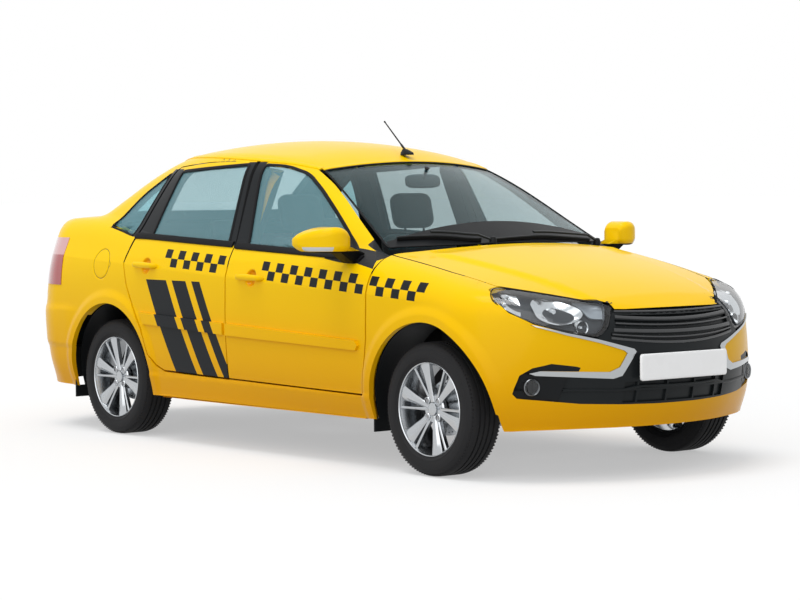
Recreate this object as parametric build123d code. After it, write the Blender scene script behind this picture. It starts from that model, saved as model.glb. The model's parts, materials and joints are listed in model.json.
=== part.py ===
from build123d import *
import math
import os
from typing import NamedTuple

os.makedirs("parts", exist_ok=True)

# Overall sizes in mm: +X forward, +Y to the car's left, +Z up, ground at zero
LENGTH = 4268.0
WHEELBASE = 2476.0
FRONT_OVERHANG = 750.0
NOSE_X = LENGTH / 2
FRONT_AXLE_X = NOSE_X - FRONT_OVERHANG
REAR_AXLE_X = FRONT_AXLE_X - WHEELBASE
FRONT_TRACK = 1430.0
REAR_TRACK = 1414.0

# Wheels and tyres
TYRE_R = 290.0
TYRE_WIDTH = 185.0
RIM_R = 207.0
RIM_WIDTH = 165.0
BOLT_CIRCLE = 98.0
BOLT_COUNT = 4
BOLT_HOLE_R = 7.5
HUB_BORE_R = 34.0
SPINDLE_R = 28.0
KINGPIN_Y = 640.0

# Panel thicknesses and gaps
SKIN = 24.0
DOOR_WALL = 45.0
SHUT_GAP = 8.0
GLASS = 5.0
GLASS_INSET = 4.0

# Wheel arches
ARCH_R = 375.0
FLARE_R = 412.0
FLARE_OUT = 16.0
LINER = 5.0

# Plan of the lower body: half ellipses at nose and tail, long arcs along the sides
NOSE_CENTRE_X = 1520.0
TAIL_CENTRE_X = -1600.0
SIDE_TAPER = 23.0


class Level(NamedTuple):
    """Plan outline of the lower body at one height."""
    z: float
    half_width: float
    nose_x: float
    tail_x: float


class Station(NamedTuple):
    """Height of hood, shoulder or deck at one place along the car."""
    x: float
    crown_z: float
    edge_z: float
    skirt_z: float


class Ring(NamedTuple):
    """Plan outline of the glasshouse at one height."""
    z: float
    front_x: float
    front_sag: float
    front_half: float
    mid_half: float
    rear_half: float
    rear_x: float
    rear_sag: float


BODY_LEVELS = [
    Level(225, 786, 2062, -2040),
    Level(330, 820, 2098, -2096),
    Level(470, 837, 2120, -2124),
    Level(620, 842, 2116, -2132.4),
    Level(740, 838, 2088, -2110),
    Level(830, 828, 2046, -2086),
    Level(1010, 772, 1960, -2066),
    Level(1140, 728, 1880, -2044),
]
EDGE_Y = 640.0
SKIRT_Y = 870.0
TOP_STATIONS = [
    Station(2200, 660, 600, 480),
    Station(2064, 724, 672, 560),
    Station(1900, 790, 742, 640),
    Station(1700, 850, 806, 710),
    Station(1400, 918, 878, 775),
    Station(1097, 975, 935, 825),
    Station(700, 1003, 985, 900),
    Station(0, 1015, 1003, 930),
    Station(-700, 1045, 1030, 960),
    Station(-1300, 1108, 1092, 985),
    Station(-1640, 1112, 1090, 980),
    Station(-1900, 1100, 1070, 950),
    Station(-2060, 1076, 1040, 910),
    Station(-2200, 1030, 985, 850),
]
CABIN_RINGS = [
    Ring(900, 1250, 185, 715, 811, 720, -2010, 200),
    Ring(1060, 952, 165, 650, 750, 655, -1706, 180),
    Ring(1220, 654, 150, 597, 688, 580, -1401, 150),
    Ring(1380, 356, 130, 538, 624, 505, -1096, 110),
    Ring(1500, 132, 110, 490, 575, 450, -868, 80),
]
PILLAR_ROUND = 55.0
ROOF_ARC = [(450.0, 1360.0), (-420.0, 1475.0), (-1250.0, 1370.0)]
ROOF_SIDE_Y = 900.0
ROOF_CROWN = 173.0

# Side outlines as (x, z)
FRONT_DOOR = [
    (1004, 890), (994, 574), (952, 330), (-48, 345), (-48, 965), (-98, 1388), (90, 1380), (268, 1343),
    (428, 1261), (564, 1172), (706, 1074), (840, 985), (985, 922),
]
REAR_DOOR = [
    (-56, 345), (-56, 965), (-124, 1388), (-489, 1376), (-780, 1352), (-800, 1338), (-915, 1000),
    (-952, 870), (-914, 760), (-858, 668), (-768, 548), (-716, 428), (-664, 378), (-596, 354),
]
REAR_APERTURE = [
    (-48, 335), (-48, 965), (-98, 1392), (-489, 1382), (-786, 1359), (-819, 1338), (-931, 1000),
    (-961, 872), (-923, 756), (-866, 661), (-775, 543), (-723, 423), (-668, 370), (-596, 345),
]
FRONT_GLASS = [
    (47, 964), (-51, 1358), (98, 1350), (263, 1312), (410, 1235), (545, 1147), (684, 1050), (806, 958),
    (842, 930),
]
REAR_GLASS = [(-787, 1002), (-733, 1331), (-153, 1361), (-105, 973)]
QUARTER_GLASS = [(-1214, 1052), (-1053, 1213), (-852, 1322), (-960, 1004)]
FENDER_SIDE = [(1014, 1100), (1014, 905), (1002, 574), (956, 322), (950, 200), (2250, 200), (2250, 1100)]
FRONT_BUMPER_SIDE = [
    (1500, 150), (1500, 600), (1596, 655), (1780, 712), (1905, 719), (2250, 719), (2250, 150),
]
REAR_BUMPER_SIDE = [
    (-1290, 150), (-1290, 590), (-1420, 645), (-1510, 685), (-1600, 715), (-2250, 735), (-2250, 150),
]
# Front outlines of the lamps as (y, z), the right-hand one
LAMP_BACK_X = 1655.0
HEADLAMP = [
    (-740, 772), (-696, 808), (-655, 820), (-486, 779), (-313, 735), (-345, 711), (-372, 645), (-417, 611),
    (-539, 632), (-643, 668), (-711, 716),
]
TAIL_LAMP = [(-850, 990), (-612, 985), (-606, 830), (-640, 760), (-850, 742)]
# Plan outlines as (x, y), right half
HOOD_SIDE = [(1014, -684), (1400, -668), (1700, -628), (1830, -600), (1965, -470), (2000, -390)]
LID_SIDE = [(-1500, -570), (-1700, -592), (-2000, -598), (-2250, -600)]


def side_prism(points, y0, y1):
    """Upright prism across the car from a side outline."""
    face = Plane.XZ * make_face(Polyline(*points, close=True))
    solid = extrude(face, amount=y1 - y0)
    return Pos(0, y1, 0) * solid


def plan_prism(edges, z0, z1):
    """Upright prism from a plan outline."""
    return Pos(0, 0, z0) * extrude(make_face(edges), amount=z1 - z0)


def front_prism(points, x0, x1):
    """Prism along the car from a front outline."""
    return Pos(x0, 0, 0) * extrude(Plane.YZ * make_face(Polyline(*points, close=True)), amount=x1 - x0)


def block(x0, x1, y0, y1, z0, z1):
    """Plain box between limits."""
    size = Box(x1 - x0, y1 - y0, z1 - z0)
    return Pos((x0 + x1) / 2, (y0 + y1) / 2, (z0 + z1) / 2) * size


def across(radius, x, z, y0, y1):
    """Cylinder lying across the car."""
    return Pos(x, (y0 + y1) / 2, z) * Rot(90, 0, 0) * Cylinder(radius, y1 - y0)


def upright(radius, x, y, z0, z1):
    """Cylinder standing up."""
    return Pos(x, y, (z0 + z1) / 2) * Cylinder(radius, z1 - z0)


def bar(p, q, radius):
    """Round bar between two points."""
    axis = Vector(*q) - Vector(*p)
    plane = Plane(origin=p, z_dir=axis)
    return extrude(plane * Circle(radius), amount=axis.length)


def flip(shape):
    """The same piece on the other side of the car."""
    return mirror(shape, about=Plane.XZ)


def lower_body(inset, reach=0.0):
    """Loft of the lower body's plan outlines, drawn in by an inset."""
    wires = []
    for i, level in enumerate(BODY_LEVELS):
        z = level.z
        if i == 0:
            z -= reach
        if i == len(BODY_LEVELS) - 1:
            z += reach
        half = level.half_width - inset
        end = half - SIDE_TAPER
        nose = level.nose_x - inset - NOSE_CENTRE_X
        tail = TAIL_CENTRE_X - level.tail_x - inset
        edges = [
            EllipticalCenterArc((NOSE_CENTRE_X, 0), nose, end, start_angle=-90, arc_size=180),
            ThreePointArc((NOSE_CENTRE_X, end), (0, half), (TAIL_CENTRE_X, end)),
            EllipticalCenterArc((TAIL_CENTRE_X, 0), tail, end, start_angle=90, arc_size=180),
            ThreePointArc((TAIL_CENTRE_X, -end), (0, -half), (NOSE_CENTRE_X, -end)),
        ]
        wires.append(Pos(0, 0, z) * Wire(edges))
    return Solid.make_loft(wires)


def under_top(drop):
    """Everything below hood, shoulders and deck, lowered by a drop."""
    wires = []
    for s in TOP_STATIONS:
        crown = s.crown_z - drop
        edge = s.edge_z - drop
        skirt = s.skirt_z - drop
        middle = edge - 0.28 * (edge - skirt)
        half = (EDGE_Y + SKIRT_Y) / 2
        edges = [
            ThreePointArc((-EDGE_Y, edge), (0, crown), (EDGE_Y, edge)),
            ThreePointArc((EDGE_Y, edge), (half, middle), (SKIRT_Y, skirt)),
            Line((SKIRT_Y, skirt), (SKIRT_Y, 100)),
            Line((SKIRT_Y, 100), (-SKIRT_Y, 100)),
            Line((-SKIRT_Y, 100), (-SKIRT_Y, skirt)),
            ThreePointArc((-SKIRT_Y, skirt), (-half, middle), (-EDGE_Y, edge)),
        ]
        wires.append(Plane(origin=(s.x, 0, 0), x_dir=(0, 1, 0), z_dir=(1, 0, 0)) * Wire(edges))
    return Solid.make_loft(wires)


def glasshouse(inset):
    """Loft of the glasshouse's plan outlines under the arched roof."""
    wires = []
    for ring in CABIN_RINGS:
        front = ring.front_x - inset * 1.9
        rear = ring.rear_x + inset * 1.9
        wf = ring.front_half - inset
        wm = ring.mid_half - inset
        wr = ring.rear_half - inset
        xf = front - ring.front_sag
        xr = rear + ring.rear_sag
        edges = [
            ThreePointArc((xf, -wf), (front, 0), (xf, wf)),
            ThreePointArc((xf, wf), ((xf + xr) / 2, wm), (xr, wr)),
            ThreePointArc((xr, wr), (rear, 0), (xr, -wr)),
            ThreePointArc((xr, -wr), ((xf + xr) / 2, -wm), (xf, -wf)),
        ]
        face = make_face(edges)
        face = fillet(face.vertices(), PILLAR_ROUND)
        wires.append(Pos(0, 0, ring.z) * face.face().outer_wire())
    loft_solid = Solid.make_loft(wires)
    roofs = []
    for y, fall in [(-ROOF_SIDE_Y, ROOF_CROWN), (0, 0), (ROOF_SIDE_Y, ROOF_CROWN)]:
        arc = [(x, z - fall - inset) for x, z in ROOF_ARC]
        x0, z0 = arc[0]
        x1, z1 = arc[2]
        edges = [
            ThreePointArc(*arc),
            Line((x1, z1), (x1 - 900, z1 - 400)),
            Line((x1 - 900, z1 - 400), (x1 - 900, 700)),
            Line((x1 - 900, 700), (x0 + 900, 700)),
            Line((x0 + 900, 700), (x0 + 900, z0 - 400)),
            Line((x0 + 900, z0 - 400), (x0, z0)),
        ]
        roofs.append(Plane(origin=(0, y, 0), x_dir=(1, 0, 0), z_dir=(0, -1, 0)) * Wire(edges))
    return loft_solid & Solid.make_loft(roofs)


def body_volume(inset, reach=0.0):
    """The whole closed body drawn in by an inset."""
    lower = lower_body(inset, reach) & under_top(inset)
    return lower + glasshouse(inset)


def shut(points, amount):
    """A straight-sided outline grown, or with a minus shrunk, by part of a shut gap."""
    count = len(points)
    area = sum(points[i - 1][0] * points[i][1] - points[i][0] * points[i - 1][1] for i in range(count))
    sign = 1.0 if area > 0 else -1.0
    grown = []
    for i in range(count):
        (x0, y0), (x1, y1), (x2, y2) = points[i - 1], points[i], points[(i + 1) % count]
        a = math.hypot(x1 - x0, y1 - y0)
        b = math.hypot(x2 - x1, y2 - y1)
        n0 = (sign * (y1 - y0) / a, -sign * (x1 - x0) / a)
        n1 = (sign * (y2 - y1) / b, -sign * (x2 - x1) / b)
        scale = amount / (1 + n0[0] * n1[0] + n0[1] * n1[1])
        grown.append((x1 + scale * (n0[0] + n1[0]), y1 + scale * (n0[1] + n1[1])))
    return grown


OUTER = body_volume(0)
HOLLOW = body_volume(SKIN, 40)
SKIN_SHELL = OUTER - HOLLOW
DOOR_SHELL = OUTER - body_volume(DOOR_WALL, 40)
GLASS_LAYER = glasshouse(GLASS_INSET) - glasshouse(GLASS_INSET + GLASS)
RIGHT = block(-2300, 2300, -1000, 0, 0, 1700)
pieces = {}


def keep(name, shape, whole=True):
    """File one piece under its name, crumbs left out."""
    solids = sorted(shape.solids(), key=lambda solid: -solid.volume)
    if whole:
        solids = solids[:1]
    pieces[name] = solids


# Plan prisms that part the top panels
hood_mirror = [(x, -y) for x, y in reversed(HOOD_SIDE)]


def hood_outline(grow):
    """Hood edge in plan, grown by part of a gap."""
    edges = [
        ThreePointArc(HOOD_SIDE[-1], (2068, 0), hood_mirror[0]),
        Polyline(*hood_mirror),
        ThreePointArc(hood_mirror[-1], (1118, 0), HOOD_SIDE[0]),
        Polyline(*HOOD_SIDE),
    ]
    face = make_face(edges)
    if grow:
        face = offset(face, grow)
    return Pos(0, 0, 640) * extrude(face, amount=460)


def lid_outline(grow):
    """Trunk lid edge in plan, grown by part of a gap."""
    other = [(x, -y) for x, y in reversed(LID_SIDE)]
    edges = [
        ThreePointArc(other[-1], (-1640, 0), LID_SIDE[0]),
        Polyline(*LID_SIDE),
        Line(LID_SIDE[-1], other[0]),
        Polyline(*other),
    ]
    face = make_face(edges)
    if grow:
        face = offset(face, grow)
    return Pos(0, 0, 745 - grow) * extrude(face, amount=500)


WINDSHIELD_PLAN = plan_prism([
    ThreePointArc((950, -655), (1096, 0), (950, 655)),
    Polyline((950, 655), (545, 568), (290, 508)),
    ThreePointArc((290, 508), (345, 0), (290, -508)),
    Polyline((290, -508), (545, -568), (950, -655)),
], 900, 1500)
BACKLIGHT_PLAN = plan_prism([
    ThreePointArc((-1466, -540), (-1612, 0), (-1466, 540)),
    Line((-1466, 540), (-950, 425)),
    ThreePointArc((-950, 425), (-1028, 0), (-950, -425)),
    Line((-950, -425), (-1466, -540)),
], 900, 1500)
ROOF_EDGES = [
    ThreePointArc((276, -505), (331, 0), (276, 505)),
    ThreePointArc((276, 505), (-350, 580), (-936, 440)),
    ThreePointArc((-936, 440), (-1014, 0), (-936, -440)),
    ThreePointArc((-936, -440), (-350, -580), (276, -505)),
]
ROOF_PLAN = plan_prism(ROOF_EDGES, 1200, 1500)
ROOF_ROOM = Pos(0, 0, 1200) * extrude(offset(make_face(ROOF_EDGES), SHUT_GAP + 2), amount=300)
HEADLAMP_RIGHT = front_prism(HEADLAMP, LAMP_BACK_X, 2200)
TAIL_LAMP_RIGHT = front_prism(TAIL_LAMP, -2200, -1560)

arches = None
for axle_x in (FRONT_AXLE_X, REAR_AXLE_X):
    hole = across(ARCH_R, axle_x, TYRE_R, -1000, 1000) - block(-2300, 2300, -560, 560, 0, 1700)
    hole = hole + block(axle_x - ARCH_R, axle_x + ARCH_R, -1000, -560, 0, TYRE_R)
    hole = hole + block(axle_x - ARCH_R, axle_x + ARCH_R, 560, 1000, 0, TYRE_R)
    arches = hole if arches is None else arches + hole

# Raised lips round the four arches
lips = lower_body(-FLARE_OUT) - lower_body(SKIN, 40)
lip_rings = None
for axle_x in (FRONT_AXLE_X, REAR_AXLE_X):
    ring = across(FLARE_R, axle_x, TYRE_R, -1000, 1000)
    ring = ring - block(-2300, 2300, -1000, 1000, 0, 300)
    lip_rings = ring if lip_rings is None else lip_rings + ring
lips = (lips & lip_rings) - arches - side_prism(shut(FRONT_DOOR, 6), -1000, 1000)
lips = lips - side_prism(REAR_APERTURE, -1000, 1000)

# Black middle of the nose, the bright strip that bends round its waist and the fog lamp pockets, as (y, z)
GRILLE = [
    (-330, 719), (-349, 709), (-374, 645), (-417, 609), (-421, 603), (-264, 559), (-254, 547), (-318, 447),
    (-356, 436), (-535, 448), (-560, 344), (-475, 333), (-295, 325), (-120, 321),
]
STRIP = [
    (-655, 667), (-539, 632), (-419, 603), (-264, 559), (-254, 547), (-318, 447), (-356, 436), (-645, 455),
    (-664, 464), (-630, 474), (-374, 465), (-330, 484), (-296, 542), (-311, 554), (-418, 589), (-539, 622),
    (-640, 657),
]
FOG_POCKET = [
    (-535, 448), (-645, 455), (-664, 464), (-630, 474), (-482, 470), (-475, 487), (-590, 504), (-651, 486),
    (-686, 456), (-701, 380), (-687, 362), (-560, 344),
]
FOG_CENTRE = (-642.0, 404.0)
FOG_R = 36.0
PLATE_WIDTH = 520.0
PLATE_HEIGHT = 112.0
PLATE_Z = 481.0
PLATE_BACK_X = 2124.0
# Sunk bands between the grille's slats: heights at the middle and at the ends, and half widths
BANDS = [(686, 699, 705, 710, 318), (636, 646, 670, 686, 338), (586, 614, 618, 630, 362)]
BAND_DEPTH = 15.0
# Lower grille: upright bars at these places across the car and one bar along it
LOWER_BARS = [-304.0, -235.0, -82.0, 82.0, 235.0, 304.0]
LOWER_HALF_BAR = 5.0
LOWER_ROWS = [(332, 382), (392, 420)]


def both(shape):
    """A piece with its fellow on the other side."""
    return shape + flip(shape)


def both_front(points, x0, x1):
    """Two mirrored prisms along the car from one front outline."""
    return both(front_prism(points, x0, x1))


# Hood, fenders and bumpers
front_side = side_prism(FENDER_SIDE, -1000, 1000)
bumper_side = side_prism(FRONT_BUMPER_SIDE, -1000, 1000)
lamp_both = both(HEADLAMP_RIGHT)
lamp_room = both_front(shut(HEADLAMP, 7), LAMP_BACK_X - 7, 2200)
hood = (SKIN_SHELL & hood_outline(0)) - lamp_room - block(1600, 2300, -1000, 1000, 0, 727)
keep("hood", hood)
front_skin = ((SKIN_SHELL + lips) & front_side) - arches - lamp_both - WINDSHIELD_PLAN - hood_outline(8)
keep("fender_right", (front_skin - bumper_side) & RIGHT)
front_bumper = (front_skin & bumper_side) - block(1500, 2300, -1000, 1000, 719, 900)
grille_points = GRILLE + [(-y, z) for y, z in reversed(GRILLE)]
grille_cut = front_prism(grille_points, 1800, 2200)
strip_cut = both_front(STRIP, 1800, 2200)
fog_cut = both_front(FOG_POCKET, 1700, 2200)
keep("front_bumper", front_bumper - grille_cut - strip_cut - fog_cut)
grille = (SKIN_SHELL & grille_cut) - lamp_both - block(1500, 2300, -1000, 1000, 719, 900) - strip_cut
sunk = None
for low_mid, low_end, high_mid, high_end, half in BANDS:
    edges = [
        ThreePointArc((-half, low_end), (0, low_mid), (half, low_end)),
        Line((half, low_end), (half, high_end)),
        ThreePointArc((half, high_end), (0, high_mid), (-half, high_end)),
        Line((-half, high_end), (-half, low_end)),
    ]
    band = Pos(1800, 0, 0) * extrude(Plane.YZ * make_face(edges), amount=400)
    sunk = band if sunk is None else sunk + band
for left, right in zip(LOWER_BARS, LOWER_BARS[1:]):
    for low, high in LOWER_ROWS:
        sunk = sunk + block(1800, 2200, left + LOWER_HALF_BAR, right - LOWER_HALF_BAR, low, high)
grille = grille - (sunk - lower_body(BAND_DEPTH, 40))
holder = block(2060, PLATE_BACK_X, -PLATE_WIDTH / 2 + 20, PLATE_WIDTH / 2 - 20, PLATE_Z - 46, PLATE_Z + 46)
keep("grille", grille + (holder - HOLLOW))
bright = lower_body(-7) - lower_body(SKIN, 40)
keep("chrome_trim", (bright & strip_cut) - lamp_both, whole=False)
fog = (SKIN_SHELL & fog_cut) - strip_cut - grille_cut
fog_y, fog_z = FOG_CENTRE
fog_body = Pos(1846, fog_y, fog_z) * Rot(0, 90, 0) * Cylinder(FOG_R, 70)
keep("fog_lamps", fog + both(fog_body), whole=False)
keep("headlamp_right", DOOR_SHELL & HEADLAMP_RIGHT)
plate_z0 = PLATE_Z - PLATE_HEIGHT / 2
plate = block(PLATE_BACK_X, NOSE_X, -PLATE_WIDTH / 2, PLATE_WIDTH / 2, plate_z0, plate_z0 + PLATE_HEIGHT)
keep("number_plate", plate)

# Body sides: sills, pillars, rails and rear quarters
rear_bumper_side = side_prism(REAR_BUMPER_SIDE, -1000, 1000)
front_cut = side_prism(shut(FRONT_DOOR, SHUT_GAP), -1000, 1000)
rear_cut = side_prism(REAR_APERTURE, -1000, 1000)
quarter_window = side_prism(QUARTER_GLASS, -1000, 1000)
side = (DOOR_SHELL + lips) & RIGHT
side = side - front_side - front_cut - rear_cut - rear_bumper_side - arches
side = side - WINDSHIELD_PLAN - BACKLIGHT_PLAN - ROOF_PLAN - lid_outline(SHUT_GAP)
side = side - quarter_window - TAIL_LAMP_RIGHT
CABIN_ROOM = body_volume(DOOR_WALL + SHUT_GAP, 40)
DOOR_CUTS = front_cut + rear_cut
B_POST = [
    (-784, 300), (-784, 640), (-745, 950), (-575, 1330), (-575, 1420), (-540, 1420), (-540, 1330),
    (-690, 950), (-715, 640), (-715, 300),
]
post = front_prism(B_POST, -105, 10) & OUTER
side = side + (post & CABIN_ROOM) + (post - DOOR_CUTS - ROOF_PLAN)
side = side + (block(925, 1000, -768, -700, 300, 880) & CABIN_ROOM)
SILL_Z = 218.0
rocker = block(-640, 940, -772, -700, SILL_Z, 330)
side = side + (rocker - arches - DOOR_CUTS)
keep("body_side_right", side)
keep("roof_panel", SKIN_SHELL & ROOF_PLAN)
rear_skin = ((SKIN_SHELL + lips) & rear_bumper_side) - arches
keep("rear_bumper", rear_skin)
lid = ((SKIN_SHELL & lid_outline(0)) - BACKLIGHT_PLAN) & block(-2300, -1400, -1000, 1000, 745, 1300)
keep("trunk_lid", lid)
keep("tail_lamp_right", DOOR_SHELL & TAIL_LAMP_RIGHT)

# Doors with their handles and rub strips
DOOR_ZONE = front_prism([(-1000, 300), (-650, 300), (-650, 960), (-512, 1400), (-1000, 1400)], -1200, 1200)
front_door = (DOOR_SHELL & DOOR_ZONE & side_prism(FRONT_DOOR, -1000, -480)) - ROOF_ROOM
front_door = front_door - side_prism(FRONT_GLASS, -1000, 0) - hood_outline(SHUT_GAP + 4)
rear_door = (DOOR_SHELL & DOOR_ZONE & side_prism(REAR_DOOR, -1000, -480)) - ROOF_ROOM
rear_door = rear_door - side_prism(REAR_GLASS, -1000, 0)
strip_shell = lower_body(-14) - lower_body(8, 40)
front_strip = side_prism([(936, 524), (950, 545), (936, 567), (-40, 604), (-40, 548)], -1000, 0)
rear_strip = side_prism([(-64, 605), (-64, 550), (-752, 574), (-764, 604), (-790, 631)], -1000, 0)
front_door = front_door + (strip_shell & front_strip)
rear_door = rear_door + ((strip_shell & rear_strip) & side_prism(REAR_DOOR, -1000, -480))
HANDLES = [(64, 834), (-827, 872)]
handle_shapes = []
for x, z in HANDLES:
    grip = block(x + 10, x + 190, -868, -852, z - 15, z + 15)
    for foot in (x + 10, x + 160):
        grip = grip + block(foot, foot + 30, -860, -795, z - 13, z + 13)
    handle_shapes.append(grip)
keep("door_front_right", front_door + handle_shapes[0])
keep("door_rear_right", rear_door + handle_shapes[1])

# Glass
keep("glass_front_right", GLASS_LAYER & side_prism(FRONT_GLASS, -1000, 0))
keep("glass_rear_right", GLASS_LAYER & side_prism(REAR_GLASS, -1000, 0))
keep("quarter_glass_right", GLASS_LAYER & side_prism(QUARTER_GLASS, -1000, 0))
keep("windshield", GLASS_LAYER & WINDSHIELD_PLAN)
keep("rear_window", GLASS_LAYER & BACKLIGHT_PLAN)

# Mirrors, wipers and antenna
# Mirror cap as sections across the car: y, rear and front, bottom and top, corner round
MIRROR_SECTIONS = [
    (-830, 788, 892, 966, 1034, 20),
    (-880, 758, 908, 953, 1066, 32),
    (-950, 732, 880, 954, 1060, 34),
    (-1000, 716, 800, 966, 1038, 24),
    (-1018, 714, 758, 984, 1020, 12),
]
cap_wires = []
for y, rear, front, low, high, corner in MIRROR_SECTIONS:
    section = Plane(origin=((rear + front) / 2, y, (low + high) / 2), x_dir=(1, 0, 0), z_dir=(0, -1, 0))
    cap_wires.append((section * RectangleRounded(front - rear, high - low, corner)).face().outer_wire())
mirror_cap = Solid.make_loft(cap_wires)
MIRROR_FOOT = [(-740, 905), (-740, 950), (-835, 985), (-880, 985), (-880, 960), (-800, 905)]
mirror_foot = front_prism(MIRROR_FOOT, 800, 880)
keep("mirror_right", (mirror_foot + mirror_cap) - OUTER)
WIPERS = [((1060, 60, 1003), (905, -440, 1062)), ((1003, 540, 985), (985, -10, 1055))]
wiper_bars = None
for foot, tip in WIPERS:
    blade = bar(foot, tip, 7) + upright(14, foot[0], foot[1], foot[2] - 60, foot[2] + 8)
    wiper_bars = blade if wiper_bars is None else wiper_bars + blade
keep("wipers", wiper_bars - glasshouse(GLASS_INSET), whole=False)
ANTENNA_FOOT = (289.0, 0.0, 1402.0)
ANTENNA_TIP = (111.0, 0.0, 1563.0)
mast = bar(ANTENNA_FOOT, ANTENNA_TIP, 3.5) + upright(17, 289, 0, 1390, 1418)
keep("antenna", mast - OUTER)

# Floor, bulkheads and the front frame
FLOOR_LINE = [
    (1066, 900), (1052, 520), (860, 262), (-520, 262), (-600, 420), (-1960, 420), (-2010, 480), (-2030, 715),
]
FLOOR_T = 14.0
floor = extrude(Plane.XZ * trace(Polyline(*FLOOR_LINE), FLOOR_T), amount=700, both=True)
wells = None
for axle_x in (FRONT_AXLE_X, REAR_AXLE_X):
    for y0, y1 in ((-1000, -585), (585, 1000)):
        well = across(ARCH_R + 10, axle_x, TYRE_R, y0, y1)
        wells = well if wells is None else wells + well
floor = (floor & HOLLOW) - wells - block(700, 2000, -1000, 1000, 0, 250)
rail = block(1060, 1900, -446, -430, 330, 700)
tower = block(1300, 1470, -600, -430, 690, 712)
tower = tower + upright(62, FRONT_AXLE_X, -520, 700, 770)
panel = block(1900, 1930, -470, 470, 300, 690) - block(1890, 1940, -400, 400, 340, 640)
frame = both(rail + tower) + panel
keep("floor_pan", floor + (frame & HOLLOW))
engine = block(1180, 1720, -340, 330, 330, 720) + block(1240, 1600, 330, 400, 340, 600)
keep("engine", engine + block(1400, 1460, -430, 430, 500, 540))

# Wheel arch liners and mud flaps
liners = None
for axle_x in (FRONT_AXLE_X, REAR_AXLE_X):
    tube = across(ARCH_R + LINER + 1, axle_x, TYRE_R, -900, -600)
    tube = tube - across(ARCH_R + 1, axle_x, TYRE_R, -900, -600)
    tube = tube - block(-2300, 2300, -1000, 1000, 0, 292)
    liners = tube if liners is None else liners + tube
FLAPS = [(1000, 262), (-1476, 262)]
flaps = None
for x, top in FLAPS:
    flap = block(x, x + 8, -790, -640, 165, top + 40)
    flaps = flap if flaps is None else flaps + flap
liners = (liners & HOLLOW) + (flaps - SKIN_SHELL)
liners = liners - (DOOR_SHELL & block(-1700, 940, -1000, -560, 0, 1000)) - rear_skin
keep("arch_liners", both(liners), whole=False)

# Dashboard, steering wheel and seats
dash = side_prism([(1070, 700), (1070, 925), (860, 935), (745, 880), (735, 760), (800, 690)], -640, 640)
WHEEL_CENTRE = (585.0, 350.0, 830.0)
COLUMN_TILT = 26.0
tilt = math.radians(COLUMN_TILT)
column = Plane(origin=WHEEL_CENTRE, x_dir=(0, 1, 0), z_dir=(-math.cos(tilt), 0, math.sin(tilt)))
hand_wheel = column * Torus(178, 15)
hand_wheel = hand_wheel + column * Pos(0, 0, -30) * Cylinder(48, 50)
for angle in (90, 210, 330):
    spoke = Rot(0, 0, angle) * Pos(105, 0, -12) * Box(150, 34, 14)
    hand_wheel = hand_wheel + column * spoke
tube = column * Pos(0, 0, -175) * Cylinder(36, 160) - column * Pos(0, 0, -115) * Cylinder(26, 80)
keep("dashboard", ((dash & HOLLOW) - floor) + tube)
keep("steering_wheel", hand_wheel + column * Pos(0, 0, -80) * Cylinder(20, 90))
SEAT_Y = 350.0
seat_side = [
    (655, 445), (640, 350), (160, 330), (60, 380), (-115, 960), (-60, 990), (10, 980), (150, 500), (240, 440),
]
seat = side_prism(seat_side, -SEAT_Y - 245, -SEAT_Y + 245)
seat = fillet(seat.edges().filter_by(Axis.Y), 30)
head = Pos(-98, -SEAT_Y, 1100) * Rot(0, -14, 0) * Box(90, 250, 170)
head = fillet(head.edges(), 32)
seat = seat + head
for y in (-SEAT_Y - 60, -SEAT_Y + 60):
    seat = seat + bar((-84, y, 960), (-96, y, 1060), 7)
for y in (-SEAT_Y - 195, -SEAT_Y + 195):
    seat = seat + block(160, 600, y - 15, y + 15, 269, 350)
keep("front_seats", both(seat), whole=False)
bench_side = [
    (-180, 440), (-190, 330), (-560, 320), (-600, 440), (-790, 960), (-740, 985), (-690, 970), (-560, 500),
    (-480, 450),
]
bench = side_prism(bench_side, -600, 600)
bench = fillet(bench.edges().filter_by(Axis.Y), 25)
for y in (-300, 300):
    bench = bench + fillet((Pos(-765, y, 1030) * Box(80, 240, 110)).edges(), 28)
bench = bench + block(-520, -240, -560, 560, 269, 330)
keep("rear_bench", bench - floor)

# Tyres and wheels, drawn about the wheel's own centre, outside face towards -Y
HALF_T = TYRE_WIDTH / 2
TYRE_PROFILE = [
    (RIM_R - 6, -HALF_T + 14), (RIM_R + 30, -HALF_T), (TYRE_R - 26, -HALF_T + 4), (TYRE_R, -HALF_T + 26),
    (TYRE_R, HALF_T - 26), (TYRE_R - 26, HALF_T - 4), (RIM_R + 30, HALF_T), (RIM_R - 6, HALF_T - 14),
]


def ring_about_axle(points):
    """Turn a half section, given as (radius, y), about the wheel's axle."""
    face = make_face(Polyline(*[(r, y) for r, y in points], close=True))
    return revolve(face, Axis.Y)


tyre = ring_about_axle(TYRE_PROFILE)
RIM_PROFILE = [
    (RIM_R - 6, -HALF_T + 14), (RIM_R - 6, HALF_T - 14), (RIM_R - 16, HALF_T - 14), (RIM_R - 20, -20),
    (RIM_R - 20, -HALF_T + 26), (RIM_R - 14, -HALF_T + 14),
]
rim = ring_about_axle(RIM_PROFILE)
hub = Rot(90, 0, 0) * Pos(0, 0, 52) * Cylinder(72, 40)
rim = rim + hub
SPOKE_PAIRS = 6
SPOKE_PHASE = 18.0
SPOKE_ROOT_R = 56.0
SPOKE_TIP_R = RIM_R - 16
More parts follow.
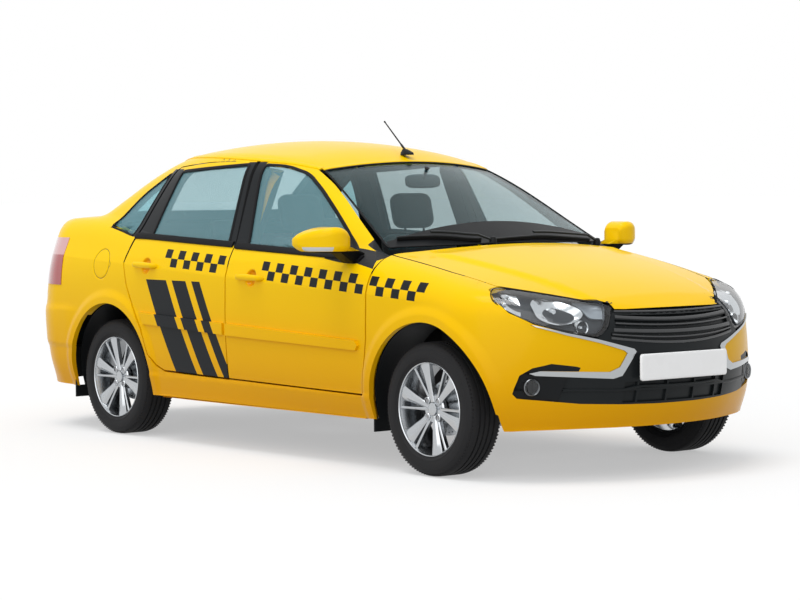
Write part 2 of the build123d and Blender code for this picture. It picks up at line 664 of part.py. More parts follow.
# Broad and slim spoke of a pair: turn in degrees, half widths at root and tip, face and back along the axle
SPOKES = [(0.0, 15.0, 27.0, -70.0, -44.0), (-19.0, 9.0, 7.0, -66.0, -44.0)]
for pair in range(SPOKE_PAIRS):
    for turn, root, tip, face_y, back_y in SPOKES:
        plan = [(SPOKE_ROOT_R, -root), (SPOKE_TIP_R, -tip), (SPOKE_TIP_R, tip), (SPOKE_ROOT_R, root)]
        arm = side_prism(plan, face_y, back_y)
        rim = rim + Rot(0, SPOKE_PHASE + pair * 360 / SPOKE_PAIRS + turn, 0) * arm
disc = Rot(90, 0, 0) * Pos(0, 0, -32) * Cylinder(122, 12) + Rot(90, 0, 0) * Pos(0, 0, 2) * Cylinder(70, 76)
rim = rim + disc
for i in range(BOLT_COUNT):
    a = math.radians(45 + i * 360 / BOLT_COUNT)
    bolt_x = BOLT_CIRCLE / 2 * math.cos(a)
    bolt_z = BOLT_CIRCLE / 2 * math.sin(a)
    rim = rim - Pos(bolt_x, 0, bolt_z) * Rot(90, 0, 0) * Cylinder(BOLT_HOLE_R, 300)
rim = rim - Rot(90, 0, 0) * Pos(0, 0, -10) * Cylinder(HUB_BORE_R, 116)
WHEELS = {
    "front_right": (FRONT_AXLE_X, -FRONT_TRACK / 2, False),
    "front_left": (FRONT_AXLE_X, FRONT_TRACK / 2, True),
    "rear_right": (REAR_AXLE_X, -REAR_TRACK / 2, False),
    "rear_left": (REAR_AXLE_X, REAR_TRACK / 2, True),
}
for place, (x, y, left) in WHEELS.items():
    turn = Rot(0, 0, 180) if left else Rot(0, 0, 0)
    keep(f"tyre_{place}", Pos(x, y, TYRE_R) * turn * tyre)
    keep(f"rim_{place}", Pos(x, y, TYRE_R) * turn * rim)

# Knuckles, front suspension, rear axle, exhaust and tank
wheel_y = -FRONT_TRACK / 2
knuckle = block(FRONT_AXLE_X - 34, FRONT_AXLE_X + 34, -664, -612, 228, 400)
knuckle = knuckle + across(SPINDLE_R, FRONT_AXLE_X, TYRE_R, wheel_y - 38, -640)
knuckle = knuckle + block(FRONT_AXLE_X - 130, FRONT_AXLE_X - 30, -650, -626, 252, 272)
keep("knuckle_right", knuckle)
sub = block(1255, 1500, -390, 390, 200, 255)
for side_sign in (-1, 1):
    root, tip = side_sign * 380, side_sign * 604
    arm_plan = [(1270, root), (1500, root), (1406, tip), (1362, tip)]
    sub = sub + Pos(0, 0, 202) * extrude(make_face(Polyline(*arm_plan, close=True)), amount=18)
    sub = sub + upright(24, FRONT_AXLE_X, side_sign * 520, 205, 700)
    sub = sub + upright(46, FRONT_AXLE_X, side_sign * 520, 470, 660)
keep("front_suspension", sub - block(1000, 1800, -1000, 1000, 690, 800))
beam = across(32, -900, 310, -560, 560)
for side_sign in (-1, 1):
    inner, outer = sorted((side_sign * 520, side_sign * 572))
    beam = beam + block(-1130, -563, inner, outer, 276, 330)
    y0, y1 = sorted((side_sign * 560, side_sign * (REAR_TRACK / 2 + 38)))
    beam = beam + across(SPINDLE_R, REAR_AXLE_X, TYRE_R, y0, y1)
    beam = beam + upright(40, -1010, side_sign * 500, 320, 413)
keep("rear_axle", beam)
pipe = bar((1150, 120, 190), (-700, 120, 190), 24) + block(-700, -350, 40, 230, 140, 240)
pipe = pipe + bar((-700, 150, 200), (-1500, 330, 230), 22)
pipe = pipe + fillet(block(-1880, -1480, 180, 480, 170, 330).edges(), 25)
pipe = pipe + bar((1196, 120, 312), (1110, 120, 190), 24) + upright(36, 1196, 120, 318, 330)
pipe = pipe + block(0, 30, 110, 130, 200, 255) + block(-1700, -1660, 320, 340, 320, 413)
keep("exhaust", pipe + bar((-1870, 400, 205), (-2070, 400, 184), 24))
keep("fuel_tank", fillet(block(-560, -180, -450, 20, 165, 255).edges(), 20))

# Pieces made on the right and repeated on the left: some keep a node a side, others share one
OWN_SIDE = ["door_front", "door_rear", "glass_front", "glass_rear", "mirror", "knuckle"]
SHARED = {"fender": "fenders", "headlamp": "headlamps", "body_side": "body_sides", "tail_lamp": "tail_lamps"}
for name in OWN_SIDE:
    pieces[name + "_left"] = [flip(solid) for solid in pieces[name + "_right"]]
for name, joined in SHARED.items():
    right = pieces.pop(name + "_right")
    pieces[joined] = right + [flip(solid) for solid in right]
quarter = pieces.pop("quarter_glass_right")
windows = pieces.pop("windshield") + pieces.pop("rear_window")
pieces["fixed_glass"] = windows + quarter + [flip(solid) for solid in quarter]

for name, solids in pieces.items():
    box = Compound(children=list(solids)).bounding_box()
    limits = [round(v, 1) for v in (box.min.X, box.max.X, box.min.Y, box.max.Y, box.min.Z, box.max.Z)]
    print(name, len(solids), round(sum(s.volume for s in solids) / 1e6, 2), limits)
    export_step(Compound(children=list(solids)), f"parts/{name}.step")
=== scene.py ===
import json
import logging
import math
from dataclasses import dataclass
from enum import Enum
from typing import NamedTuple, Sequence

import bmesh
import bpy
import numpy as np
from mathutils import Matrix, Vector
from mathutils.bvhtree import BVHTree

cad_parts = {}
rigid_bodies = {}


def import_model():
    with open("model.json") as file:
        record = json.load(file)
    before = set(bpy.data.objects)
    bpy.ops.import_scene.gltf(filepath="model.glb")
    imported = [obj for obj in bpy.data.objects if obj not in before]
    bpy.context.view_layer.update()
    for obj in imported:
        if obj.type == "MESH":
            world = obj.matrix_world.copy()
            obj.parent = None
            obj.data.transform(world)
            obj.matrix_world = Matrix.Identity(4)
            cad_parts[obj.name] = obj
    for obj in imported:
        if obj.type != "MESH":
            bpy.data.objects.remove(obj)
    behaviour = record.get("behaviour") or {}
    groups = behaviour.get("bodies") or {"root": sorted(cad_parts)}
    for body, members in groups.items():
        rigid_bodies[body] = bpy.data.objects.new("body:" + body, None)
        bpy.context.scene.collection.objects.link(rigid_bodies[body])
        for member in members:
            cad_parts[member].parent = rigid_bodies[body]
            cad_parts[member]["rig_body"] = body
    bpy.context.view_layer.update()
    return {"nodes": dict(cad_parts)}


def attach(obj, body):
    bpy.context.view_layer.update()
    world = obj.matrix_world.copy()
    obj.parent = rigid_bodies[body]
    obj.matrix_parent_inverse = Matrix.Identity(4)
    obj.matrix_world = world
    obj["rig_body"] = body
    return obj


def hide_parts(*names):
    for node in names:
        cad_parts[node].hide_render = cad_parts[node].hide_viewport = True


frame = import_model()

LOG = logging.getLogger("sedan")
MM = 0.001
Array = np.ndarray
Spot = tuple[float, float]
Point = tuple[float, float, float]


# Numbers and curves

class Curve:
    """A natural cubic curve through a short table of values."""

    def __init__(self, at: Sequence[float], value: Sequence[float]) -> None:
        """Solve the curve's second derivatives.

        Args:
            at: rising places along the curve.
            value: the value at each place.
        """
        self.at = np.asarray(at, float)
        self.value = np.asarray(value, float)
        count = len(self.at)
        step = np.diff(self.at)
        matrix = np.eye(count)
        right = np.zeros(count)
        for i in range(1, count - 1):
            matrix[i, i - 1:i + 2] = step[i - 1], 2 * (step[i - 1] + step[i]), step[i]
            slope = np.diff(self.value[i - 1:i + 2]) / step[i - 1:i + 1]
            right[i] = 6 * (slope[1] - slope[0])
        self.bend = np.linalg.solve(matrix, right)

    def __call__(self, place: Array) -> Array:
        """Value of the curve at each place, held level past its ends."""
        place = np.clip(place, self.at[0], self.at[-1])
        i = np.clip(np.searchsorted(self.at, place) - 1, 0, len(self.at) - 2)
        step = self.at[i + 1] - self.at[i]
        a = (self.at[i + 1] - place) / step
        b = 1 - a
        bent = ((a**3 - a) * self.bend[i] + (b**3 - b) * self.bend[i + 1]) * step**2 / 6
        return a * self.value[i] + b * self.value[i + 1] + bent


def ease(value: Array, low: float, high: float) -> Array:
    """Smooth step from 0 at low to 1 at high."""
    t = np.clip((value - low) / (high - low), 0, 1)
    return t * t * (3 - 2 * t)


def round_max(a: Array, b: Array, radius: float) -> Array:
    """Larger of two fields, the edge between them rounded."""
    if radius <= 0:
        return np.maximum(a, b)
    g = np.clip(0.5 + 0.5 * (a - b) / radius, 0, 1)
    return a * g + b * (1 - g) + radius * g * (1 - g)


def round_min(a: Array, b: Array, radius: float) -> Array:
    """Smaller of two fields, the corner between them filled."""
    return -round_max(-a, -b, radius)


# The form of the painted body, in millimetres as drawn

class Level(NamedTuple):
    """Plan outline of the lower body at one height."""

    z: float
    half_width: float
    nose_x: float
    tail_x: float


class Station(NamedTuple):
    """Height of hood, shoulder or deck at one place along the car."""

    x: float
    crown_z: float
    edge_z: float
    skirt_z: float


class Ring(NamedTuple):
    """Plan outline of the glasshouse at one height."""

    z: float
    front_x: float
    front_sag: float
    front_half: float
    mid_half: float
    rear_half: float
    rear_x: float
    rear_sag: float


LEVELS = (
    Level(225, 786, 2062, -2040),
    Level(330, 820, 2098, -2096),
    Level(470, 837, 2120, -2124),
    Level(620, 842, 2116, -2132.4),
    Level(740, 838, 2088, -2110),
    Level(830, 828, 2046, -2086),
    Level(1010, 772, 1960, -2066),
    Level(1140, 728, 1880, -2044),
)
STATIONS = (
    Station(-2200, 1030, 985, 850),
    Station(-2060, 1076, 1040, 910),
    Station(-1900, 1100, 1070, 950),
    Station(-1640, 1112, 1090, 980),
    Station(-1300, 1108, 1092, 985),
    Station(-700, 1045, 1030, 960),
    Station(0, 1015, 1003, 930),
    Station(700, 1003, 985, 900),
    Station(1097, 975, 935, 825),
    Station(1400, 918, 878, 775),
    Station(1700, 850, 806, 710),
    Station(1900, 790, 742, 640),
    Station(2064, 724, 672, 560),
    Station(2200, 660, 600, 480),
)
RINGS = (
    Ring(900, 1250, 185, 715, 811, 720, -2010, 200),
    Ring(1060, 952, 165, 650, 750, 655, -1706, 180),
    Ring(1220, 654, 150, 597, 688, 580, -1401, 150),
    Ring(1380, 356, 130, 538, 624, 505, -1096, 110),
    Ring(1500, 132, 110, 490, 575, 450, -868, 80),
)


def columns(rows: Sequence[NamedTuple]) -> dict[str, Curve]:
    """One curve for each named column of a table, over its first column, in metres."""
    names = rows[0]._fields
    first = [row[0] * MM for row in rows]
    return {name: Curve(first, [row[i] * MM for row in rows]) for i, name in enumerate(names) if i}


@dataclass(frozen=True)
class Rounds:
    """How softly neighbouring faces of the body run into each other, in metres."""

    shoulder: float = 0.075
    pillar: float = 0.06
    roof_rail: float = 0.085
    cowl: float = 0.03


SHARP = Rounds(0.0, 0.0, 0.0, 0.0)
SOFT = Rounds()


class Dent(NamedTuple):
    """A round hollow or groove in the body's side, in metres."""

    x: float
    z: float
    flat: float
    edge: float
    depth: float


HOLLOWS = (Dent(0.148, 0.823, 0.024, 0.043, 0.021), Dent(-0.748, 0.861, 0.024, 0.043, 0.021))
FLAP = Dent(-1.172, 0.862, 0.0, 0.074, 0.0035)


@dataclass(frozen=True)
class Relief:
    """How far creases, lips and swellings stand out of the plain form, in metres."""

    crease: float = 0.011
    crease_z: float = 0.8215
    crease_fall: float = 0.0473
    crease_fade: float = 0.075
    crease_round: float = 0.005
    sill: float = 0.007
    bumper: float = 0.009
    groove_width: float = 0.0035
    arch_lip: float = 0.013
    arch_swell: float = 0.034
    hood: float = 0.013
    deck_edge: float = 0.008


RELIEF = Relief()


@dataclass(frozen=True)
class BodyForm:
    """The car's outer skin as one field: below zero inside, above zero outside."""

    rounds: Rounds
    relief: bool
    nose_centre: float = 1.520
    tail_centre: float = -1.600
    side_taper: float = 0.023
    waist_x: float = -0.04
    waist_reach: float = 1.56
    screen_lean: float = 0.47
    edge_y: float = 0.640
    skirt_y: float = 0.870
    roof_side: float = 0.900
    roof_crown: float = 0.173
    front_axle: float = 1.384
    rear_axle: float = -1.092
    axle_height: float = 0.290

    FLATTEST = 0.2
    LONGEST_MOVE = 0.03
    HALVINGS = 30

    def __post_init__(self) -> None:
        """Turn the tables into curves."""
        object.__setattr__(self, "level", columns(LEVELS))
        object.__setattr__(self, "station", columns(STATIONS))
        object.__setattr__(self, "ring", columns(RINGS))
        object.__setattr__(self, "roof", np.polyfit([0.450, -0.420, -1.250], [1.360, 1.475, 1.370], 2))

    def side_relief(self, x: Array, z: Array, right: Array) -> Array:
        """How far crease, sill, arch lips and handle hollows stand out of the plain side."""
        crease_z = RELIEF.crease_z - RELIEF.crease_fall * x
        off = np.sqrt((z - crease_z) ** 2 + RELIEF.crease_round**2)
        along = ease(x, -1.85, -1.5) * (1 - ease(x, 1.0, 1.45))
        out = RELIEF.crease * np.exp(-off / RELIEF.crease_fade) * along
        out = out + RELIEF.sill * (1 - ease(z, 0.316, 0.342)) * ease(x, -0.9, -0.7) * (1 - ease(x, 0.95, 1.1))
        bumper = ease(z, 0.415, 0.445) * (1 - ease(z, 0.610, 0.650)) * (1 - ease(x, -1.52, -1.36))
        out = out + RELIEF.bumper * bumper * ease(x, -1.98, -1.85)
        for dent in HOLLOWS:
            out = out - dent.depth * (1 - ease(np.hypot(x - dent.x, z - dent.z), dent.flat, dent.edge))
        ring = np.hypot(x - FLAP.x, z - FLAP.z) - FLAP.edge
        groove = np.exp(-((ring / RELIEF.groove_width) ** 2)) * right
        return self.arch_relief(x, z) + out - FLAP.depth * groove

    def arch_relief(self, x: Array, z: Array) -> Array:
        """How far the arch lips and the swell ahead of the front arch stand out."""
        out = np.zeros_like(x)
        for axle, forward in ((self.front_axle, 1.0), (self.rear_axle, 0.0)):
            dx = x - axle
            dz = z - self.axle_height
            reach = np.hypot(dx, dz)
            ahead = forward * np.clip(dx / np.maximum(reach, 0.01), 0, 1) ** 1.5
            lip = 1 - ease(reach, 0.402, 0.452)
            swell = 1 - ease(reach, 0.40, 0.62)
            out = out + lip * RELIEF.arch_lip + swell * RELIEF.arch_swell * ahead
        return out

    def top_relief(self, x: Array, across: Array) -> Array:
        """How far the hood's raised middle and the deck's rear edge stand up."""
        crease_y = 0.36 + (2.02 - x) * 0.20
        hood = ease(x, 1.05, 1.2) * (1 - ease(x, 1.95, 2.06))
        middle = 1 - ease(across, crease_y - 0.028, crease_y + 0.028)
        edge = np.exp(-(((x + 2.045) / 0.045) ** 2)) * (1 - ease(across, 0.45, 0.62))
        return RELIEF.hood * hood * middle + RELIEF.deck_edge * edge

    def lower(self, x: Array, across: Array, z: Array, right: Array) -> Array:
        """Field of the lower body: its sides, nose and tail."""
        half = self.level["half_width"](z)
        end = half - self.side_taper
        nose = self.level["nose_x"](z) - self.nose_centre
        tail = self.tail_centre - self.level["tail_x"](z)
        middle = across - half + self.side_taper * ((x - self.waist_x) / self.waist_reach) ** 2
        front = end * (np.hypot((x - self.nose_centre) / nose, across / end) - 1)
        rear = end * (np.hypot((x - self.tail_centre) / tail, across / end) - 1)
        side = np.where(x > self.nose_centre, front, np.where(x < self.tail_centre, rear, middle))
        if self.relief:
            side = side - self.side_relief(x, z, right)
        return side

    def top(self, x: Array, across: Array) -> Array:
        """Height of hood, shoulder and deck."""
        crown = self.station["crown_z"](x)
        edge = self.station["edge_z"](x)
        drop = edge - self.station["skirt_z"](x)
        past = np.maximum(across - self.edge_y, 0) / (self.skirt_y - self.edge_y)
        inner = np.minimum(across / self.edge_y, 1)
        height = crown - (crown - edge) * inner**2 - drop * (0.12 * past + 0.88 * past**2)
        if self.relief:
            height = height + self.top_relief(x, across)
        return height

    def cabin(self, x: Array, across: Array, z: Array) -> Array:
        """Field of the glasshouse with its roof."""
        ring = {name: curve(z) for name, curve in self.ring.items()}
        front = ring["front_x"] - ring["front_sag"] * (across / ring["front_half"]) ** 2
        rear = ring["rear_x"] + ring["rear_sag"] * (across / ring["rear_half"]) ** 2
        front_end = ring["front_x"] - ring["front_sag"]
        rear_end = ring["rear_x"] + ring["rear_sag"]
        s = (2 * x - front_end - rear_end) / (front_end - rear_end)
        mean = (ring["front_half"] + ring["rear_half"]) / 2
        lean = (ring["front_half"] - ring["rear_half"]) / 2
        width = ring["mid_half"] + lean * s + (mean - ring["mid_half"]) * s**2
        ends = np.maximum((x - front) * self.screen_lean, (rear - x) * self.screen_lean)
        wall = round_max(across - width, ends, self.rounds.pillar)
        roof = z - np.polyval(self.roof, x) + self.roof_crown * (across / self.roof_side) ** 2
        return round_max(wall, roof, self.rounds.roof_rail)

    def field(self, p: Array) -> Array:
        """Field of the whole body at points given as rows."""
        x, across, z = p[:, 0], np.abs(p[:, 1]), p[:, 2]
        sides = self.lower(x, across, z, p[:, 1] < 0)
        lower = round_max(sides, z - self.top(x, across), self.rounds.shoulder)
        return round_min(lower, self.cabin(x, across, z), self.rounds.cowl)

    def slope(self, p: Array, step: float = 0.002) -> Array:
        """Gradient of the field at points given as rows."""
        out = np.empty_like(p)
        for axis in range(3):
            move = np.zeros(3)
            move[axis] = step
            out[:, axis] = (self.field(p + move) - self.field(p - move)) / (2 * step)
        return out

    def settle(self, p: Array, depth: Array, rounds: int = 6) -> Array:
        """Move points along the slope until the field there is as given.

        Args:
            p: points as rows.
            depth: wanted field value for each point.
            rounds: number of steps.

        Returns:
            The moved points.
        """
        p = p.copy()
        for _ in range(rounds):
            g = self.slope(p)
            size = np.maximum((g**2).sum(1), self.FLATTEST)
            move = (self.field(p) - depth) / size
            p -= g * np.clip(move, -self.LONGEST_MOVE, self.LONGEST_MOVE)[:, None]
        return p

    def meet(self, p: Array, axis: int, inner: float, outer: float, depth: float = 0.0) -> Array:
        """Slide points along one axis until they lie on the skin.

        Args:
            p: points as rows.
            axis: which of x, y and z may change.
            inner: a value of that axis inside the body.
            outer: a value of that axis outside it.
            depth: wanted field value.

        Returns:
            The points on the skin.
        """
        low = np.full(len(p), inner)
        high = np.full(len(p), outer)
        p = np.array(p, float)
        for _ in range(self.HALVINGS):
            middle = (low + high) / 2
            p[:, axis] = middle
            within = self.field(p) < depth
            low = np.where(within, middle, low)
            high = np.where(within, high, middle)
        return p

    def outward(self, p: Array) -> Array:
        """Unit normals of the skin at points given as rows."""
        g = self.slope(p)
        return g / np.maximum(np.linalg.norm(g, axis=1), 1e-6)[:, None]


DRAWN = BodyForm(SHARP, relief=False)
FINISHED = BodyForm(SOFT, relief=True)


# Shader maths

Value = "Shade | float"


class Shade:
    """A shader socket that takes part in Python expressions."""

    def __init__(self, graph: "Graph", socket: bpy.types.NodeSocket) -> None:
        """Wrap one output socket of a material's graph."""
        self.graph = graph
        self.socket = socket

    def _math(self, operation: str, a: Value, b: Value) -> "Shade":
        """Add one Math node."""
        return self.graph.node("ShaderNodeMath", {"operation": operation}, {0: a, 1: b})

    def __add__(self, other: Value) -> "Shade":
        """Sum."""
        return self._math("ADD", self, other)

    __radd__ = __add__

    def __sub__(self, other: Value) -> "Shade":
        """Difference."""
        return self._math("SUBTRACT", self, other)

    def __rsub__(self, other: Value) -> "Shade":
        """Difference the other way round."""
        return self._math("SUBTRACT", other, self)

    def __mul__(self, other: Value) -> "Shade":
        """Product."""
        return self._math("MULTIPLY", self, other)

    __rmul__ = __mul__

    def __truediv__(self, other: Value) -> "Shade":
        """Quotient."""
        return self._math("DIVIDE", self, other)

    def __rtruediv__(self, other: Value) -> "Shade":
        """Quotient the other way round."""
        return self._math("DIVIDE", other, self)

    def __abs__(self) -> "Shade":
        """Size without sign."""
        return self._math("ABSOLUTE", self, 0.0)

    def power(self, exponent: float) -> "Shade":
        """Power."""
        return self._math("POWER", self, exponent)

    def root(self) -> "Shade":
        """Square root."""
        return self._math("SQRT", self, 0.0)

    def above(self, edge: Value, soft: float = 0.0008) -> "Shade":
        """1 where the value is above an edge, 0 below it, soft between."""
        return self.graph.ramp((self - edge) / soft + 0.5)

    def between(self, low: Value, high: Value, soft: float = 0.0008) -> "Shade":
        """1 where the value is between two edges."""
        return self.above(low, soft) * (1 - self.above(high, soft))

    def parity(self) -> "Shade":
        """0 or 1 in turn for each whole number."""
        whole = self._math("FLOOR", self, 0.0)
        return self._math("FLOORED_MODULO", whole, 2.0)


class Graph:
    """The node graph of one material."""

    def __init__(self, name: str) -> None:
        """Start an empty node material."""
        self.material = bpy.data.materials.new(name)
        self.material.use_nodes = True
        self.tree = self.material.node_tree
        self.tree.nodes.clear()

    def node(self, kind: str, settings: dict | None = None, sockets: dict | None = None,
             out: int | str = 0) -> Shade:
        """Add one node.

        Args:
            kind: node type.
            settings: attributes set before the sockets.
            sockets: values or links by socket name or number.
            out: which output is wanted.

        Returns:
            The wanted output.
        """
        made = self.tree.nodes.new(kind)
        for name, value in (settings or {}).items():
            if name == "stops":
                elements = made.color_ramp.elements
                while len(elements) < len(value):
                    elements.new(1.0)
                for element, (place, colour) in zip(elements, value):
                    element.position = place
                    element.color = (*colour, 1.0)
            else:
                setattr(made, name, value)
        for name, value in (sockets or {}).items():
            socket = made.inputs[name]
            if isinstance(value, Shade):
                self.tree.links.new(value.socket, socket)
            else:
                socket.default_value = value
        return Shade(self, made.outputs[out])

    def ramp(self, value: Value) -> Shade:
        """A value kept between 0 and 1."""
        return self.node("ShaderNodeClamp", None, {0: value})

    def place(self) -> tuple[Shade, Shade, Shade]:
        """The piece's own x, y and z."""
        coords = self.node("ShaderNodeTexCoord", out="Object")
        split = self.node("ShaderNodeSeparateXYZ", None, {0: coords})
        outputs = split.socket.node.outputs
        return Shade(self, outputs[0]), Shade(self, outputs[1]), Shade(self, outputs[2])

    def noise(self, scale: float, detail: float = 2.0, stretch: tuple = (1, 1, 1)) -> Shade:
        """Even noise over the piece's own coordinates."""
        coords = self.node("ShaderNodeTexCoord", out="Object")
        spread = self.node("ShaderNodeMapping", None, {"Vector": coords, "Scale": stretch})
        return self.node("ShaderNodeTexNoise", None, {"Vector": spread, "Scale": scale, "Detail": detail})

    def mix(self, factor: Value, first: Sequence | Shade, second: Sequence | Shade) -> Shade:
        """Mix two colours."""
        a = first if isinstance(first, Shade) else (*first, 1.0)
        b = second if isinstance(second, Shade) else (*second, 1.0)
        return self.node("ShaderNodeMix", {"data_type": "RGBA"}, {0: factor, 6: a, 7: b}, out=2)

    def bump(self, height: Shade, strength: float, distance: float) -> Shade:
        """Surface bump from a height."""
        values = {"Height": height, "Strength": strength, "Distance": distance}
        return self.node("ShaderNodeBump", None, values)

    def surface(self, shader: Shade) -> bpy.types.Material:
        """Close the graph with a surface shader."""
        output = self.tree.nodes.new("ShaderNodeOutputMaterial")
        self.tree.links.new(shader.socket, output.inputs["Surface"])
        return self.material

    def principled(self, sockets: dict) -> bpy.types.Material:
        """Close the graph with one Principled shader."""
        return self.surface(self.node("ShaderNodeBsdfPrincipled", None, sockets))


# Finishes

Colour = tuple[float, float, float]


@dataclass(frozen=True)
class CheckerBand:
    """Two rows of small dark squares along a panel, sizes in metres."""

    rear_x: float
    front_x: float
    columns: int
    rear_top: float
    front_top: float
    height: float

    def mask(self, x: Shade, z: Shade) -> Shade:
        """1 on the band's dark squares.

        Args:
            x: place along the car.
            z: height.

        Returns:
            The mask.
        """
        slope = (self.front_top - self.rear_top) / (self.front_x - self.rear_x)
        top = (x - self.rear_x) * slope + self.rear_top
        row = (top - z) * (2 / self.height)
        column = (x - self.rear_x) * (self.columns / (self.front_x - self.rear_x))
        odd = (row.parity() + column.parity()).parity()
        inside = row.between(0.0, 2.0, 0.01) * column.between(0.0, float(self.columns), 0.01)
        return (1 - odd) * inside


class PaintPart(Enum):
    """Panels whose paint carries its own markings."""

    PLAIN = "plain"
    FRONT_DOOR = "front_door"
    REAR_DOOR = "rear_door"
    FENDER = "fender"
    BODY_SIDE = "body_side"


BANDS = {
    PaintPart.REAR_DOOR: CheckerBand(-0.591, -0.080, 9, 0.946, 0.921, 0.084),
    PaintPart.FRONT_DOOR: CheckerBand(0.221, 0.980, 14, 0.903, 0.857, 0.084),
    PaintPart.FENDER: CheckerBand(1.018, 1.374, 7, 0.854, 0.831, 0.082),
}


class Pillar(NamedTuple):
    """The black part of a window pillar: one leaning border and two heights, in metres."""

    border: float
    lean: float
    foot: float
    low: float
    high: float
    ahead: bool

    def mask(self, x: Shade, z: Shade) -> Shade:
        """1 on the pillar, ahead of the border or behind it."""
        past = (x + (z - self.foot) * self.lean).above(self.border)
        return (past if self.ahead else 1 - past) * z.between(self.low, self.high)


PILLARS = {
    PaintPart.REAR_DOOR: (
        Pillar(-0.108, 0.16, 0.965, 0.974, 1.366, True), Pillar(-0.787, -0.164, 1.002, 1.000, 1.338, False),
    ),
    PaintPart.FRONT_DOOR: (Pillar(0.052, 0.255, 0.965, 0.966, 1.366, False),),
}
QUARTER_PILLAR = Pillar(-0.962, -0.34, 1.004, 1.001, 1.338, True)
QUARTER_END = -0.70


@dataclass(frozen=True)
class BodyPaint:
    """Glossy warm yellow paint under a clear coat, with the car's dark markings; the yellow deepens towards
    the bottom and in the handle hollows as painted shade, and the fuel flap's slit is darkened as painted
    shade.
    """

    part: PaintPart
    yellow: Colour = (0.95, 0.60, 0.002)
    # deep is the darker yellow painted on as shade towards the bottom of the car and in the handle hollows.
    deep: Colour = (0.76, 0.33, 0.001)
    # dark is the markings' own black, also used for the painted shade round the fuel flap.
    dark: Colour = (0.018, 0.020, 0.022)
    gloss: float = 0.30

    BARS = ((-0.30, -0.12), (-0.07, 0.05), (0.10, 0.17))
    BAR_LEAN = 0.55
    BAR_HEIGHTS = (0.20, 0.795)

    def hollow(self, x: Shade, z: Shade) -> Value:
        """How much painted shade deepens the colour in the dip behind a door's handle."""
        doors = {PaintPart.FRONT_DOOR: HOLLOWS[0], PaintPart.REAR_DOOR: HOLLOWS[1]}
        if self.part not in doors:
            return 0.0
        dent = doors[self.part]
        along, up = x - dent.x, z - dent.z
        return 1 - (along * along + up * up).root().above(dent.edge - 0.005, 0.010)

    def flap(self, graph: Graph, x: Shade, z: Shade) -> Shade:
        """Mask of the painted shade in the slit round the fuel flap and in its finger notch."""
        _, y, _ = graph.place()
        along, up = x - FLAP.x, z - FLAP.z
        ring = (along * along + up * up).root()
        ahead = along - FLAP.edge
        notch = (ahead * ahead + up * up).root()
        painted_slit_shade = ring.between(FLAP.edge - 0.0016, FLAP.edge + 0.0016)
        grip = notch.between(0.0145, 0.0172) * ring.above(FLAP.edge)
        return (1 - y.above(0.0)) * graph.ramp(painted_slit_shade + grip) * 0.8

    def markings(self, graph: Graph, x: Shade, z: Shade) -> Shade | None:
        """Mask of the dark markings on this panel, with the painted shade round the fuel flap, if it has any.
        """
        masks = []
        if self.part in BANDS:
            masks.append(BANDS[self.part].mask(x, z))
        if self.part is PaintPart.REAR_DOOR:
            lean = x + z * self.BAR_LEAN
            first, second, third = (lean.between(*bar) for bar in self.BARS)
            masks.append((first + second + third) * z.between(*self.BAR_HEIGHTS))
        masks += [pillar.mask(x, z) for pillar in PILLARS.get(self.part, ())]
        if self.part is PaintPart.BODY_SIDE:
            masks.append(QUARTER_PILLAR.mask(x, z) * (1 - x.above(QUARTER_END)))
            # The fuel flap's slit and finger notch are darkened with painted shade.
            masks.append(self.flap(graph, x, z))
        if not masks:
            return None
        total = masks[0]
        for mask in masks[1:]:
            total = total + mask
        return graph.ramp(total)

    def material(self) -> bpy.types.Material:
        """Make the paint."""
        graph = Graph(f"paint_{self.part.value}")
        x, _, z = graph.place()
        flake = graph.noise(900.0, 1.0)
        # Painted shade: the colour runs from yellow to deep towards the bottom and in the handle hollows; the
        # flake adds random tone.
        low = 1 - graph.ramp((z - 0.25) / 0.65)
        flake_and_painted_shade = graph.ramp(low * 0.9 + (flake - 0.5) * 0.12 + self.hollow(x, z))
        colour = graph.mix(flake_and_painted_shade, self.yellow, self.deep)
        mask = self.markings(graph, x, z)
        if mask is not None:
            colour = graph.mix(mask, colour, self.dark)
        peel = graph.noise(260.0, 1.0)
        return graph.principled({
            "Base Color": colour,
            "Roughness": self.gloss + flake * 0.08,
            "Coat Weight": 0.34,
            "Coat Roughness": 0.03,
            "Coat IOR": 1.22,
            "Specular IOR Level": 0.03,
            "Normal": graph.bump(peel, 0.03, 0.0006),
        })


@dataclass(frozen=True)
class Grained:
    """Moulded plastic, rubber or coated metal with a fine grain."""

    name: str
    colour: Colour
    roughness: float
    grain: float = 900.0
    depth: float = 0.15
    metallic: float = 0.0
    coat: float = 0.0
    shine: float = 0.12

    def material(self) -> bpy.types.Material:
        """Make the finish."""
        graph = Graph(self.name)
        fine = graph.noise(self.grain, 3.0)
        broad = graph.noise(7.0, 3.0)
        pale = tuple(min(c * 1.35 + 0.004, 1.0) for c in self.colour)
        return graph.principled({
            "Base Color": graph.mix(graph.ramp(broad * 0.5 + fine * 0.3), self.colour, pale),
            "Roughness": graph.ramp(self.roughness + (broad - 0.5) * 0.12),
            "Metallic": self.metallic,
            "Specular IOR Level": self.shine,
            "Coat Weight": self.coat,
            "Normal": graph.bump(fine, self.depth, 0.0008),
        })


@dataclass(frozen=True)
class Bright:
    """Polished, machined or plated metal."""

    name: str
    colour: Colour
    roughness: float
    scratch: float = 60.0

    def material(self) -> bpy.types.Material:
        """Make the finish."""
        graph = Graph(self.name)
        streak = graph.noise(self.scratch, 4.0, (1, 1, 6))
        dull = tuple(c * 0.86 for c in self.colour)
        return graph.principled({
            "Base Color": graph.mix(streak, dull, self.colour),
            "Roughness": graph.ramp(self.roughness + (streak - 0.5) * 0.08),
            "Metallic": 1.0,
            "Normal": graph.bump(streak, 0.02, 0.0004),
        })


